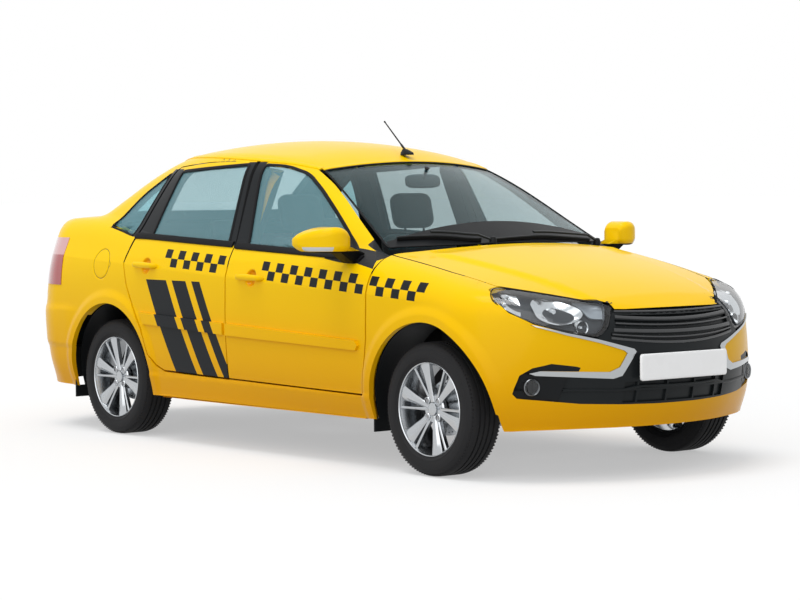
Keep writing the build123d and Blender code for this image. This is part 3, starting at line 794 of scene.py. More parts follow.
@dataclass(frozen=True)
class Glazing:
    """Clear or tinted glass: see-through, with a gloss that grows at a slant and a pale diffuse veil of
    painted sheen for the glass's reflection of the bright room.
    """

    name: str
    tint: Colour
    haze: float = 0.02
    shine: float = 0.9
    base: float = 0.04
    film: float = 0.0
    film_colour: Colour = (0.30, 0.62, 0.70)
    side_film: float = 0.0

    def material(self) -> bpy.types.Material:
        """Make the finish."""
        graph = Graph(self.name)
        cloud = graph.noise(3.0, 2.0)
        deep = tuple(c * 0.97 for c in self.tint)
        tint = graph.mix(graph.ramp(cloud), deep, self.tint)
        clear = graph.node("ShaderNodeBsdfTransparent", None, {"Color": tint})
        gloss = graph.node("ShaderNodeBsdfGlossy", None, {"Color": (1, 1, 1, 1), "Roughness": self.haze})
        slant = graph.node("ShaderNodeLayerWeight", None, {"Blend": 0.5}, out="Facing")
        share = graph.ramp(slant.power(5.0) * self.shine + self.base)
        pane = graph.node("ShaderNodeMixShader", None, {0: share, 1: clear, 2: gloss})
        if not (self.film or self.side_film):
            return graph.surface(pane)
        # Painted sheen: a pale diffuse veil over the pane stands in for its reflection of the bright room,
        # stronger on the side windows behind the rear doors.
        x, y, _ = graph.place()
        side = abs(y).above(0.60, 0.01) * (0.0 - x).above(0.80, 0.01)
        sheen_veil = graph.node("ShaderNodeBsdfDiffuse", None, {"Color": (*self.film_colour, 1)})
        amount = graph.ramp(side * self.side_film + self.film)
        return graph.surface(graph.node("ShaderNodeMixShader", None, {0: amount, 1: pane, 2: sheen_veil}))


@dataclass(frozen=True)
class TailLens:
    """Tail lamp lens: pale above, dark red below."""

    pale: Colour = (0.62, 0.30, 0.30)
    red: Colour = (0.36, 0.008, 0.012)
    border: float = 0.885

    def material(self) -> bpy.types.Material:
        """Make the finish."""
        graph = Graph("tail_lens")
        _, y, z = graph.place()
        rib = graph.node("ShaderNodeTexWave", {"bands_direction": "Z"}, {
            "Vector": graph.node("ShaderNodeTexCoord", out="Object"), "Scale": 60.0,
        }, out="Fac")
        edge = self.border + abs(y) * 0.02
        return graph.principled({
            "Base Color": graph.mix(z.above(edge, 0.004), self.red, self.pale),
            "Roughness": 0.10 + rib * 0.06,
            "Coat Weight": 1.0,
            "Normal": graph.bump(rib, 0.12, 0.0008),
        })


@dataclass(frozen=True)
class MirrorPaint:
    """Mirror housing: yellow cap, black foot and a clear turn lamp along its lower outer edge."""

    yellow: Colour = (0.95, 0.59, 0.002)
    black: Colour = (0.010, 0.011, 0.012)
    lamp: Colour = (0.62, 0.64, 0.66)
    foot: float = 0.9605

    def material(self) -> bpy.types.Material:
        """Make the finish."""
        graph = Graph("mirror_paint")
        x, y, z = graph.place()
        across = abs(y)
        foot = 1 - z.above(self.foot)
        lamp = across.above(0.925) * z.between(0.9615, 0.980) * x.above(0.775)
        colour = graph.mix(lamp, graph.mix(foot, self.yellow, self.black), self.lamp)
        flake = graph.noise(900.0, 1.0)
        return graph.principled({
            "Base Color": colour,
            "Roughness": 0.28 + flake * 0.08 + foot * 0.15,
            "Specular IOR Level": 0.03,
            "Coat IOR": 1.22,
            "Coat Weight": graph.ramp(0.55 - foot * 0.5 + lamp * 0.45),
        })


@dataclass(frozen=True)
class Weave:
    """Woven seat cloth."""

    name: str
    colour: Colour
    thread: float = 700.0

    def material(self) -> bpy.types.Material:
        """Make the finish."""
        graph = Graph(self.name)
        coords = graph.node("ShaderNodeTexCoord", out="Object")
        wave = {"Vector": coords, "Scale": self.thread, "Distortion": 0.6, "Detail": 1.0}
        warp = graph.node("ShaderNodeTexWave", {"bands_direction": "Y"}, wave, out="Fac")
        weft = graph.node("ShaderNodeTexWave", {"bands_direction": "Z"}, wave, out="Fac")
        thread = warp * weft
        wear = graph.noise(9.0, 3.0)
        pale = tuple(min(c * 1.9 + 0.01, 1.0) for c in self.colour)
        return graph.principled({
            "Base Color": graph.mix(graph.ramp(thread * 0.6 + wear * 0.4), self.colour, pale),
            "Roughness": 0.82 + wear * 0.12,
            "Sheen Weight": 0.25,
            "Normal": graph.bump(thread, 0.35, 0.0008),
        })


class Finishes:
    """Every finish of the car, made once."""

    def __init__(self) -> None:
        """Make the materials."""
        self.paint = {part: BodyPaint(part).material() for part in PaintPart}
        self.black = Grained("black_plastic", (0.007, 0.008, 0.009), 0.42).material()
        self.fascia = Grained("satin_black_plastic", (0.010, 0.012, 0.013), 0.34, 1500.0, 0.05).material()
        self.seal = Grained("rubber_seal", (0.004, 0.004, 0.005), 0.55, 600.0, 0.05).material()
        self.rubber = Grained("tyre_rubber", (0.017, 0.017, 0.018), 0.62, 500.0, 0.12).material()
        self.under = Grained("underbody_coating", (0.030, 0.030, 0.032), 0.75, 120.0, 0.5).material()
        self.cabin = Grained("cabin_plastic", (0.024, 0.025, 0.027), 0.55, 1200.0, 0.2).material()
        self.steel = Grained("bare_steel", (0.30, 0.30, 0.31), 0.45, 300.0, 0.2, metallic=0.9).material()
        self.cast = Grained("cast_metal", (0.16, 0.16, 0.165), 0.6, 160.0, 0.4, metallic=0.8).material()
        self.white = Grained("plate_white", (0.93, 0.93, 0.93), 0.28, 1500.0, 0.02, coat=0.5).material()
        self.red = TailLens().material()
        self.chrome = Bright("satin_chrome", (0.46, 0.48, 0.49), 0.20).material()
        self.reflector = Bright("lamp_reflector", (0.62, 0.64, 0.66), 0.14).material()
        self.mirror_glass = Bright("mirror_glass", (0.70, 0.73, 0.76), 0.03).material()
        self.alloy = Bright("wheel_alloy", (0.52, 0.54, 0.56), 0.24).material()
        # The flank and barrel alloys are painted shade on the wheels: darker greys on the spokes' flanks and
        # backs, the hub and the barrel between the spokes; the flank alloy also lines the fog lamps' bowls.
        self.alloy_dull = Bright("wheel_alloy_flank_shade", (0.20, 0.21, 0.22), 0.34).material()
        self.alloy_dark = Bright("wheel_alloy_barrel_shade", (0.045, 0.047, 0.05), 0.45).material()
        self.slat = Grained("grille_slat", (0.026, 0.028, 0.030), 0.30, 900.0, 0.03, shine=0.6).material()
        self.bezel = Grained("lamp_bezel", (0.045, 0.050, 0.056), 0.30, 800.0, 0.03).material()
        self.lamp_grey = Grained("lamp_panel", (0.30, 0.33, 0.36), 0.22, 600.0, 0.03, metallic=0.4).material()
        self.amber = Grained("amber_bulb", (0.85, 0.22, 0.01), 0.15, 300.0, 0.02, coat=1.0).material()
        self.thread = Grained("seat_thread", (0.10, 0.10, 0.11), 0.7, 900.0, 0.1).material()
        self.mirror = MirrorPaint().material()
        # The glasses' last numbers set how much pale veil of painted sheen lies over them.
        screen = Glazing("window_glass", (0.76, 0.89, 0.905), 0.02, 0.6, 0.012, 0.02, side_film=0.20)
        self.glass = screen.material()
        self.side_glass = Glazing("door_glass", (0.93, 0.89, 0.88), 0.02, 0.6, 0.02, 0.22).material()
        self.clear = Glazing("lamp_cover", (0.94, 0.96, 0.97)).material()
        self.cloth = Weave("seat_cloth", (0.022, 0.023, 0.025)).material()


# Skins: the painted panels laid on the finished form

class Coat(Enum):
    """Which faces of a skinned piece are meant."""

    OUTER = 0
    INNER = 1
    EDGE = 2


class Zone(NamedTuple):
    """A round place on the body's side where a skin is divided finely, in metres."""

    x: float
    z: float
    radius: float
    spacing: float


ZONES = tuple(Zone(d.x, d.z, d.edge + 0.010, 0.006) for d in HOLLOWS) + (
    Zone(FLAP.x, FLAP.z, FLAP.edge + 0.012, 0.006),
)


@dataclass(frozen=True)
class CoatRules:
    """Limits that part a solid's faces into painted outside, dark inside and painted edges."""

    along: float = 0.40
    rail_along: float = 0.80
    rail_z: float = 1.28
    side_y: float = 0.40
    belt_z: float = 0.97
    belt_half: float = 0.07
    level_face: float = 0.85
    never: float = 2.0
    lining_top: float = 1.36
    inward: float = -0.15
    back: float = -0.5
    reveal_z: float = 0.86
    reveal_field: float = 0.003


@dataclass(frozen=True)
class Spacings:
    """Longest edges where the form bends, and how far those places reach, in metres."""

    glasshouse: float = 0.018
    glasshouse_y: float = 0.45
    glasshouse_z: float = 1.0
    side_y: float = 0.70
    belt: float = 0.011
    belt_z: float = 0.970
    belt_fall: float = 0.045
    belt_half: float = 0.035
    crease: float = 0.014
    crease_half: float = 0.028
    arch: float = 0.016
    arch_radius: float = 0.47


@dataclass
class Skin:
    """One solid of the body with its outside laid smoothly on the finished form."""

    node: str
    outside: bpy.types.Material
    inside: bpy.types.Material
    levels: tuple[float, ...] = (0.0,)
    spacing: float = 0.030
    reach: float = 0.022
    bare: Dent | None = None

    RULES = CoatRules()
    FINE = Spacings()
    DIVISIONS = 7

    def build(self) -> bpy.types.Object:
        """Make the piece from the node's solid.

        Returns:
            The new object, its place in its mesh.
        """
        source = frame["nodes"][self.node].data
        mesh = bmesh.new()
        mesh.from_mesh(source)
        bmesh.ops.remove_doubles(mesh, verts=mesh.verts, dist=2e-5)
        bmesh.ops.triangulate(mesh, faces=mesh.faces[:])
        tag = mesh.faces.layers.int.new("coat")
        level = mesh.faces.layers.float.new("level")
        self._strip(mesh)
        self._mark(mesh, tag, level)
        self._divide(mesh, tag)
        data = bpy.data.meshes.new(f"{self.node}_skin")
        mesh.to_mesh(data)
        mesh.free()
        self._lay(data)
        data.materials.append(self.outside)
        data.materials.append(self.inside)
        return place_piece(f"{self.node}_skin", data)

    def _strip(self, mesh: bmesh.types.BMesh) -> None:
        """Take off what stands proud inside the bare circle, such as a plain handle."""
        if self.bare is None:
            return
        faces = mesh.faces[:]
        centres = np.array([face.calc_center_median() for face in faces])
        away = np.hypot(centres[:, 0] - self.bare.x, centres[:, 2] - self.bare.z)
        proud = (away < self.bare.edge) & (DRAWN.field(centres) > self.bare.depth)
        gone = [face for face, off in zip(faces, proud) if off]
        bmesh.ops.delete(mesh, geom=gone, context="FACES")
        rims = [edge for edge in mesh.edges if edge.is_boundary]
        filled = bmesh.ops.holes_fill(mesh, edges=rims, sides=0)["faces"]
        bmesh.ops.triangulate(mesh, faces=filled)

    def _mark(self, mesh: bmesh.types.BMesh, tag: bmesh.types.BMLayerItem,
              level: bmesh.types.BMLayerItem) -> None:
        """Tag the faces that lie on the outside, at one of its levels, and those that show no paint."""
        rules = self.RULES
        faces = mesh.faces[:]
        centres = np.array([face.calc_center_median() for face in faces])
        normals = np.array([face.normal for face in faces])
        along = (DRAWN.outward(centres) * normals).sum(1)
        field = DRAWN.field(centres)
        away = np.abs(field[:, None] - np.array(self.levels)[None])
        nearest = away.argmin(1)
        height, across = centres[:, 2], np.abs(centres[:, 1])
        door = self.node.startswith("door")
        limit = np.where((height > rules.rail_z) & (across > rules.side_y), rules.rail_along, rules.along)
        belt = (np.abs(height - rules.belt_z) < rules.belt_half) & (normals[:, 2] > rules.level_face)
        limit = np.where(door & belt, rules.never, limit)
        outer = (along > limit) & (away.min(1) < self.reach)
        top = rules.never if door else rules.lining_top
        turned_in = np.sign(centres[:, 1]) * normals[:, 1] < rules.inward
        inward = turned_in & (across > rules.side_y) & (height < top)
        sunk = (field < rules.reveal_field) & (along < limit)
        reveal = (height > rules.reveal_z) & (height < top) & sunk
        inner = ((along < rules.back) | inward | reveal) & ~outer
        for i, face in enumerate(faces):
            face[level] = self.levels[nearest[i]]
            face[tag] = Coat.OUTER.value if outer[i] else Coat.INNER.value if inner[i] else Coat.EDGE.value

    def _wanted(self, middles: Array) -> Array:
        """Longest edge that is wanted at each place."""
        fine = self.FINE
        x, across, z = middles[:, 0], np.abs(middles[:, 1]), middles[:, 2]
        side = across > fine.side_y
        belt = np.abs(z - fine.belt_z + fine.belt_fall * x) < fine.belt_half
        crease = np.abs(z - RELIEF.crease_z + RELIEF.crease_fall * x) < fine.crease_half
        places = [
            ((z > fine.glasshouse_z) & (across > fine.glasshouse_y), fine.glasshouse),
            (side & belt, fine.belt),
            (side & crease, fine.crease),
        ]
        for axle in (FINISHED.front_axle, FINISHED.rear_axle):
            ring = np.hypot(x - axle, z - FINISHED.axle_height)
            places.append((side & (ring < fine.arch_radius), fine.arch))
        wanted = np.full(len(middles), self.spacing)
        for near, spacing in places:
            wanted = np.where(near, np.minimum(wanted, spacing), wanted)
        for zone in ZONES:
            near = np.hypot(x - zone.x, z - zone.z) < zone.radius
            wanted = np.where(side & near, zone.spacing, wanted)
        return wanted

    def _divide(self, mesh: bmesh.types.BMesh, tag: bmesh.types.BMLayerItem) -> None:
        """Split the outside's long edges until all are short."""
        outer = Coat.OUTER.value
        for _ in range(self.DIVISIONS):
            edges = [e for e in mesh.edges if any(face[tag] == outer for face in e.link_faces)]
            if not edges:
                break
            ends = np.array([(*e.verts[0].co, *e.verts[1].co) for e in edges])
            length = np.linalg.norm(ends[:, :3] - ends[:, 3:], axis=1)
            too_long = length > self._wanted((ends[:, :3] + ends[:, 3:]) / 2)
            if not too_long.any():
                break
            chosen = [edge for edge, split in zip(edges, too_long) if split]
            bmesh.ops.subdivide_edges(mesh, edges=chosen, cuts=1)
            bmesh.ops.triangulate(mesh, faces=[face for face in mesh.faces if len(face.verts) > 3])

    def _lay(self, data: bpy.types.Mesh) -> None:
        """Move the outside onto the finished form and give it that form's own normals."""
        count = len(data.vertices)
        points = np.empty(count * 3)
        data.vertices.foreach_get("co", points)
        points = points.reshape(-1, 3)
        corner = np.empty(len(data.loops), int)
        data.loops.foreach_get("vertex_index", corner)
        coat = np.empty(len(data.polygons), int)
        data.attributes["coat"].data.foreach_get("value", coat)
        level = np.empty(len(data.polygons))
        data.attributes["level"].data.foreach_get("value", level)
        outer_corner = np.repeat(coat, 3) == Coat.OUTER.value
        depth = DRAWN.field(points)
        depth[corner[outer_corner]] = np.repeat(level, 3)[outer_corner]
        points = FINISHED.settle(points, depth)
        data.vertices.foreach_set("co", points.ravel())
        data.update()
        slope = FINISHED.outward(points)
        flat = np.empty(len(data.polygons) * 3)
        data.polygons.foreach_get("normal", flat)
        normals = np.repeat(flat.reshape(-1, 3), 3, axis=0)
        normals[outer_corner] = slope[corner[outer_corner]]
        inner = (coat == Coat.INNER.value).astype(int)
        data.polygons.foreach_set("material_index", inner)
        data.attributes.remove(data.attributes["coat"])
        data.attributes.remove(data.attributes["level"])
        data.polygons.foreach_set("use_smooth", np.ones(len(data.polygons), bool))
        data.normals_split_custom_set(normals)


def place_piece(name: str, data: bpy.types.Mesh) -> bpy.types.Object:
    """Make an object of a mesh and link it, unmoved, into the scene."""
    piece = bpy.data.objects.new(name, data)
    bpy.context.scene.collection.objects.link(piece)
    return piece


def own_body(node: str) -> str:
    """The body that a node belongs to."""
    return frame["nodes"][node]["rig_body"]


def stand_in(piece: bpy.types.Object, node: str, slot: str) -> None:
    """Let a piece stand for a node and ride with its body."""
    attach(piece, own_body(node))
    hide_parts(node)
    LOG.info("piece %s for node %s", piece.name, node)


def add_on(name: str, data: bpy.types.Mesh, body: str) -> bpy.types.Object:
    """Add a piece that stands for no node and rides with a body."""
    piece = place_piece(name, data)
    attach(piece, body)
    LOG.info("piece %s on body %s", name, body)
    return piece


SIDES = ("right", "left")


# Shapes, patches and swept beads

def cut_corners(p: Array, closed: bool, corner: float) -> Array:
    """Cut an outline's corners off, three times as far where it only bends slightly.

    Args:
        p: the outline's points as rows of two.
        closed: whether the last point joins the first.
        corner: how far from a sharp corner the cut starts.

    Returns:
        The outline with two points for each corner.
    """
    before, after = np.roll(p, 1, axis=0) - p, np.roll(p, -1, axis=0) - p
    near, far = (np.maximum(np.linalg.norm(v, axis=1), 1e-9)[:, None] for v in (before, after))
    slight = -(before * after).sum(1)[:, None] / (near * far) > 0.75
    reach = np.where(slight, corner * 3, corner)
    pair = [p + before * np.minimum(reach / near, 0.3), p + after * np.minimum(reach / far, 0.3)]
    cut = np.stack(pair, 1).reshape(-1, 2)
    return cut if closed else np.vstack([p[:1], cut[2:-2], p[-1:]])


def loop_path(corners: Sequence[Spot], closed: bool, step: float, corner: float = 0.014) -> Array:
    """Round an outline's corners and space its points evenly.

    Args:
        corners: the outline's corners in millimetres.
        closed: whether the last corner joins the first.
        step: spacing in metres.
        corner: size of the corners' rounding in metres.

    Returns:
        The points in metres, as rows of two.
    """
    p = np.asarray(corners, float) * MM
    for size in (corner, corner * 0.4):
        p = cut_corners(p, closed, size)
    ring = np.vstack([p, p[:1]]) if closed else p
    along = np.concatenate([[0], np.cumsum(np.linalg.norm(np.diff(ring, axis=0), axis=1))])
    count = max(int(along[-1] / step), 4)
    at = np.linspace(0, along[-1], count + 1)
    even = np.stack([np.interp(at, along, ring[:, i]) for i in range(2)], 1)
    return even[:-1] if closed else even


def arc_points(a: Spot, b: Spot, c: Spot, count: int = 24) -> list[Spot]:
    """Points on the curve through three points, the second one half way."""
    t = np.linspace(0, 1, count)[:, None]
    p, q, r = (np.asarray(v, float) for v in (a, b, c))
    return [tuple(v) for v in p * (1 - t) * (1 - 2 * t) + q * 4 * t * (1 - t) + r * t * (2 * t - 1)]


class View(Enum):
    """From where an outline is laid on the body: its axis, an inner and an outer place."""

    RIGHT = (1, -0.30, -1.20)
    LEFT = (1, 0.30, 1.20)
    FRONT = (0, 1.20, 2.40)
    ABOVE = (2, 0.60, 1.70)

    def lift(self, flat: Array, depth: float = 0.0) -> Array:
        """Lay flat points on the finished form.

        Args:
            flat: rows of the two other coordinates.
            depth: wanted field value.

        Returns:
            The points in space.
        """
        axis, inner, outer = self.value
        p = np.insert(np.asarray(flat, float), axis, inner, axis=1)
        return FINISHED.meet(p, axis, inner, outer, depth)


class Shape:
    """A mesh put together from turned and skinned forms."""

    def __init__(self) -> None:
        """Start empty."""
        self.points: list[tuple[float, ...]] = []
        self.faces: list[tuple[int, ...]] = []
        self.finish: list[int] = []

    def loops(self, rings: Sequence[Array], finish: int = 0, caps: bool = True,
              bands: dict[int, int] | None = None) -> None:
        """Skin a row of equal closed loops.

        Args:
            rings: the loops, each with as many points.
            finish: number of the finish.
            caps: whether the two ends are closed.
            bands: other finishes by place round the loop.
        """
        count = len(rings[0])
        start = len(self.points)
        self.points += [tuple(float(v) for v in p) for ring in rings for p in ring]
        for r in range(len(rings) - 1):
            for i in range(count):
                j = (i + 1) % count
                a, b = start + r * count, start + (r + 1) * count
                self.faces.append((a + i, a + j, b + j, b + i))
                self.finish.append((bands or {}).get(i, finish))
        if caps:
            last = start + (len(rings) - 1) * count
            self.faces.append(tuple(start + i for i in reversed(range(count))))
            self.faces.append(tuple(last + i for i in range(count)))
            self.finish += [finish, finish]

    def turned(self, profile: Sequence[Spot], steps: int, place: Matrix, finish: int = 0) -> None:
        """Turn a half section about the place's own z axis.

        Args:
            profile: rows of radius and height in metres.
            steps: number of steps round.
            place: where the turned form stands.
            finish: number of the finish.
        """
        start = len(self.points)
        count = len(profile)
        for k in range(steps):
            a = 2 * math.pi * k / steps
            for r, h in profile:
                self.points.append(tuple(place @ Vector((r * math.cos(a), r * math.sin(a), h))))
        for k in range(steps):
            a, b = start + k * count, start + (k + 1) % steps * count
            for i in range(count - 1):
                self.faces.append((a + i, b + i, b + i + 1, a + i + 1))
                self.finish.append(finish)

    def slab(self, outline: Array, place: Matrix, thickness: float, bevel: float = 0.0,
             finish: int = 0) -> None:
        """A flat plate of an outline, its front edge bevelled, standing out along the place's z axis."""
        flat = np.asarray(outline, float)
        centre = flat.mean(0)
        inner = centre + (flat - centre) * (1 - bevel / np.abs(flat - centre).max(0))
        rings = []
        for ring, height in ((flat, 0.0), (flat, thickness - bevel), (inner, thickness)):
            rings.append(np.array([place @ Vector((x, y, height)) for x, y in ring]))
        self.loops(rings, finish)

    def flip(self) -> None:
        """Move the shape to the other side of the car."""
        self.points = [(x, -y, z) for x, y, z in self.points]

    def mirrored(self) -> None:
        """Add the same shape on the other side of the car."""
        count = len(self.points)
        self.points += [(x, -y, z) for x, y, z in self.points]
        self.faces += [tuple(count + i for i in reversed(face)) for face in self.faces]
        self.finish += self.finish

    def mesh(self, name: str, finishes: Sequence[bpy.types.Material], crisp: float = 35.0) -> bpy.types.Mesh:
        """Close the shape: doubles merged, faces outwards, edges sharper than an angle kept crisp."""
        data = bpy.data.meshes.new(name)
        data.from_pydata(self.points, [], self.faces)
        data.polygons.foreach_set("material_index", self.finish)
        work = bmesh.new()
        work.from_mesh(data)
        bmesh.ops.remove_doubles(work, verts=work.verts, dist=1e-5)
        bmesh.ops.dissolve_degenerate(work, edges=work.edges, dist=1e-6)
        bmesh.ops.recalc_face_normals(work, faces=work.faces)
        work.to_mesh(data)
        work.free()
        return finish_mesh(data, finishes, crisp)


def finish_mesh(data: bpy.types.Mesh, finishes: Sequence[bpy.types.Material], crisp: float) -> bpy.types.Mesh:
    """Shade a mesh smoothly between crisp edges and list its finishes."""
    # Clearing the list also sets every face back to the first finish, so a shape's other finishes don't show.
    data.materials.clear()
    for finish in finishes:
        data.materials.append(finish)
    data.polygons.foreach_set("use_smooth", np.ones(len(data.polygons), bool))
    data.set_sharp_from_angle(angle=math.radians(crisp))
    data.update()
    return data


@dataclass
class Patch:
    """A sheet cut to an outline and laid on the body's form, or behind it."""

    outline: Sequence[Spot]
    view: View
    depth: float = 0.0
    dish: float = 0.0
    skirt: float = 0.004
    spacing: float = 0.012
    both: bool = False

    DIVISIONS = 6
    STRETCH = 1.4
    CORNER = 0.008

    def build(self, name: str, finish: bpy.types.Material) -> bpy.types.Mesh:
        """Make the sheet's mesh.

        Args:
            name: the mesh's name.
            finish: its finish.

        Returns:
            The mesh.
        """
        axis, inner, outer = self.view.value
        flat = loop_path(self.outline, True, self.spacing, self.CORNER)
        work = bmesh.new()
        spots = np.insert(flat, axis, 0.0, axis=1)
        work.faces.new([work.verts.new(p) for p in spots])
        bmesh.ops.triangulate(work, faces=work.faces[:])
        longest = self.spacing * self.STRETCH
        for _ in range(self.DIVISIONS):
            long = [e for e in work.edges if not e.is_boundary and e.calc_length() > longest]
            if not long:
                break
            bmesh.ops.subdivide_edges(work, edges=long, cuts=1)
            bmesh.ops.triangulate(work, faces=[f for f in work.faces if len(f.verts) > 3])
            inside = [e for e in work.edges if not e.is_boundary]
            bmesh.ops.beautify_fill(work, faces=work.faces[:], edges=inside)
        work.verts.ensure_lookup_table()
        p = FINISHED.meet(np.array([v.co for v in work.verts]), axis, inner, outer, self.depth)
        up = FINISHED.outward(p)
        keep = [i for i in range(3) if i != axis]
        low, high = flat.min(0), flat.max(0)
        rho = (((p[:, keep] - (low + high) / 2) / ((high - low) / 2)) ** 2).sum(1)
        p = p - up * (self.dish * np.clip(1 - rho, 0, 1))[:, None]
        for vert, spot in zip(work.verts, p):
            vert.co = spot
        if self.skirt:
            rim = [e for e in work.edges if e.is_boundary]
            made = bmesh.ops.extrude_edge_only(work, edges=rim)["geom"]
            verts = [v for v in made if isinstance(v, bmesh.types.BMVert)]
            back = FINISHED.outward(np.array([v.co for v in verts])) * self.skirt
            for vert, move in zip(verts, back):
                vert.co -= Vector(move)
        self._face_out(work)
        if self.both:
            copy = bmesh.ops.duplicate(work, geom=work.verts[:] + work.edges[:] + work.faces[:])["geom"]
            for vert in (v for v in copy if isinstance(v, bmesh.types.BMVert)):
                vert.co.y *= -1
            bmesh.ops.reverse_faces(work, faces=[f for f in copy if isinstance(f, bmesh.types.BMFace)])
        data = bpy.data.meshes.new(name)
        work.to_mesh(data)
        work.free()
        return finish_mesh(data, [finish], 40.0)

    def _face_out(self, work: bmesh.types.BMesh) -> None:
        """Turn the sheet's faces outwards."""
        bmesh.ops.recalc_face_normals(work, faces=work.faces)
        largest = max(work.faces, key=lambda face: face.calc_area())
        out = FINISHED.outward(np.array([largest.calc_center_median()]))[0]
        if Vector(out).dot(largest.normal) < 0:
            bmesh.ops.reverse_faces(work, faces=work.faces[:])


class Nodes:
    """A Geometry Nodes tree with named inputs, ending in plain geometry of one finish."""

    def __init__(self, name: str, inputs: dict[str, str]) -> None:
        """Start a tree.

        Args:
            name: the tree's name.
            inputs: socket types by input name.
        """
        self.tree = bpy.data.node_groups.new(name, "GeometryNodeTree")
        kinds = {"Geometry": "NodeSocketGeometry", **inputs, "Material": "NodeSocketMaterial"}
        for label, kind in kinds.items():
            self.tree.interface.new_socket(label, in_out="INPUT", socket_type=kind)
        self.tree.interface.new_socket("Geometry", in_out="OUTPUT", socket_type="NodeSocketGeometry")
        self.given = self.tree.nodes.new("NodeGroupInput").outputs

    def node(self, kind: str, settings: dict | None = None,
             sockets: dict | None = None) -> bpy.types.bpy_prop_collection:
        """Add one node.

        Args:
            kind: node type.
            settings: attributes set before the sockets.
            sockets: values or links by socket name or number.

        Returns:
            The node's outputs.
        """
        made = self.tree.nodes.new(kind)
        for name, value in (settings or {}).items():
            setattr(made, name, value)
        for name, value in (sockets or {}).items():
            if isinstance(value, bpy.types.NodeSocket):
                self.tree.links.new(value, made.inputs[name])
            else:
                made.inputs[name].default_value = value
        return made.outputs

    def close(self, geometry: bpy.types.NodeSocket, smooth: bool) -> None:
        """End the tree in realised, finished geometry."""
        real = self.node("GeometryNodeRealizeInstances", None, {0: geometry})[0]
        shaded = self.node("GeometryNodeSetShadeSmooth", None, {"Geometry": real, "Shade Smooth": smooth})[0]
        finished = {"Geometry": shaded, "Material": self.given["Material"]}
        done = self.node("GeometryNodeSetMaterial", None, finished)[0]
        self.tree.links.new(done, self.tree.nodes.new("NodeGroupOutput").inputs[0])

    def run(self, source: bpy.types.Mesh, values: dict[str, object]) -> bpy.types.Mesh:
        """Run the tree on a mesh.

        Args:
            source: the mesh that the tree starts from.
            values: the named inputs.

        Returns:
            A new plain mesh.
        """
        carrier = place_piece("carrier", source)
        modifier = carrier.modifiers.new("shape", "NODES")
        modifier.node_group = self.tree
        for item in self.tree.interface.items_tree:
            if item.in_out == "INPUT" and item.name in values:
                modifier[item.identifier] = values[item.name]
        graph = bpy.context.evaluated_depsgraph_get()
        made = bpy.data.meshes.new_from_object(carrier.evaluated_get(graph), depsgraph=graph)
        carrier.modifiers.remove(modifier)
        bpy.data.objects.remove(carrier)
        return made


def path_mesh(path: Array, closed: bool, up: Array | None = None) -> bpy.types.Mesh:
    """A mesh of one line of edges, with an upward direction at each point."""
    count = len(path)
    data = bpy.data.meshes.new("path")
    edges = [(i, i + 1) for i in range(count - 1)] + ([(count - 1, 0)] if closed else [])
    data.from_pydata([tuple(p) for p in path], edges, [])
    if up is not None:
        layer = data.attributes.new("up", "FLOAT_VECTOR", "POINT")
        layer.data.foreach_set("vector", np.ascontiguousarray(up, float).ravel())
    return data


class Sweep:
    """Beads, seals and mouldings: an even section swept along a path on the body."""

    def __init__(self) -> None:
        """Build the tree."""
        size = "NodeSocketFloat"
        nodes = Nodes("swept_bead", {"Width": size, "Height": size, "Round": size})
        line = nodes.node("GeometryNodeMeshToCurve", None, {"Mesh": nodes.given["Geometry"]})[0]
        kept = nodes.node("GeometryNodeInputNamedAttribute", {"data_type": "FLOAT_VECTOR"}, {"Name": "up"})
        up = kept["Attribute"]
        line = nodes.node("GeometryNodeSetCurveNormal", {"mode": "FREE"}, {"Curve": line, "Normal": up})[0]
        sizes = {"Width": nodes.given["Height"], "Height": nodes.given["Width"]}
        section = nodes.node("GeometryNodeCurvePrimitiveQuadrilateral", {"mode": "RECTANGLE"}, sizes)[0]
        corner = {"Curve": section, "Count": 2, "Radius": nodes.given["Round"]}
        section = nodes.node("GeometryNodeFilletCurve", {"mode": "POLY"}, corner)[0]
        swept = {"Curve": line, "Profile Curve": section, "Fill Caps": True}
        nodes.close(nodes.node("GeometryNodeCurveToMesh", None, swept)[0], True)
        self.nodes = nodes

    def run(self, path: Array, width: float, height: float, finish: bpy.types.Material, closed: bool = False,
            up: Array | None = None) -> bpy.types.Mesh:
        """Sweep one bead.

        Args:
            path: points that the bead's middle follows.
            width: size along the surface.
            height: size away from the surface.
            finish: the bead's finish.
            closed: whether the bead closes on itself.
            up: directions away from the surface, else the body's own.

        Returns:
            The bead's mesh.
        """
        away = FINISHED.outward(path) if up is None else up
        sizes = {"Width": width, "Height": height, "Round": min(width, height) * 0.35, "Material": finish}
        return self.nodes.run(path_mesh(path, closed, away), sizes)


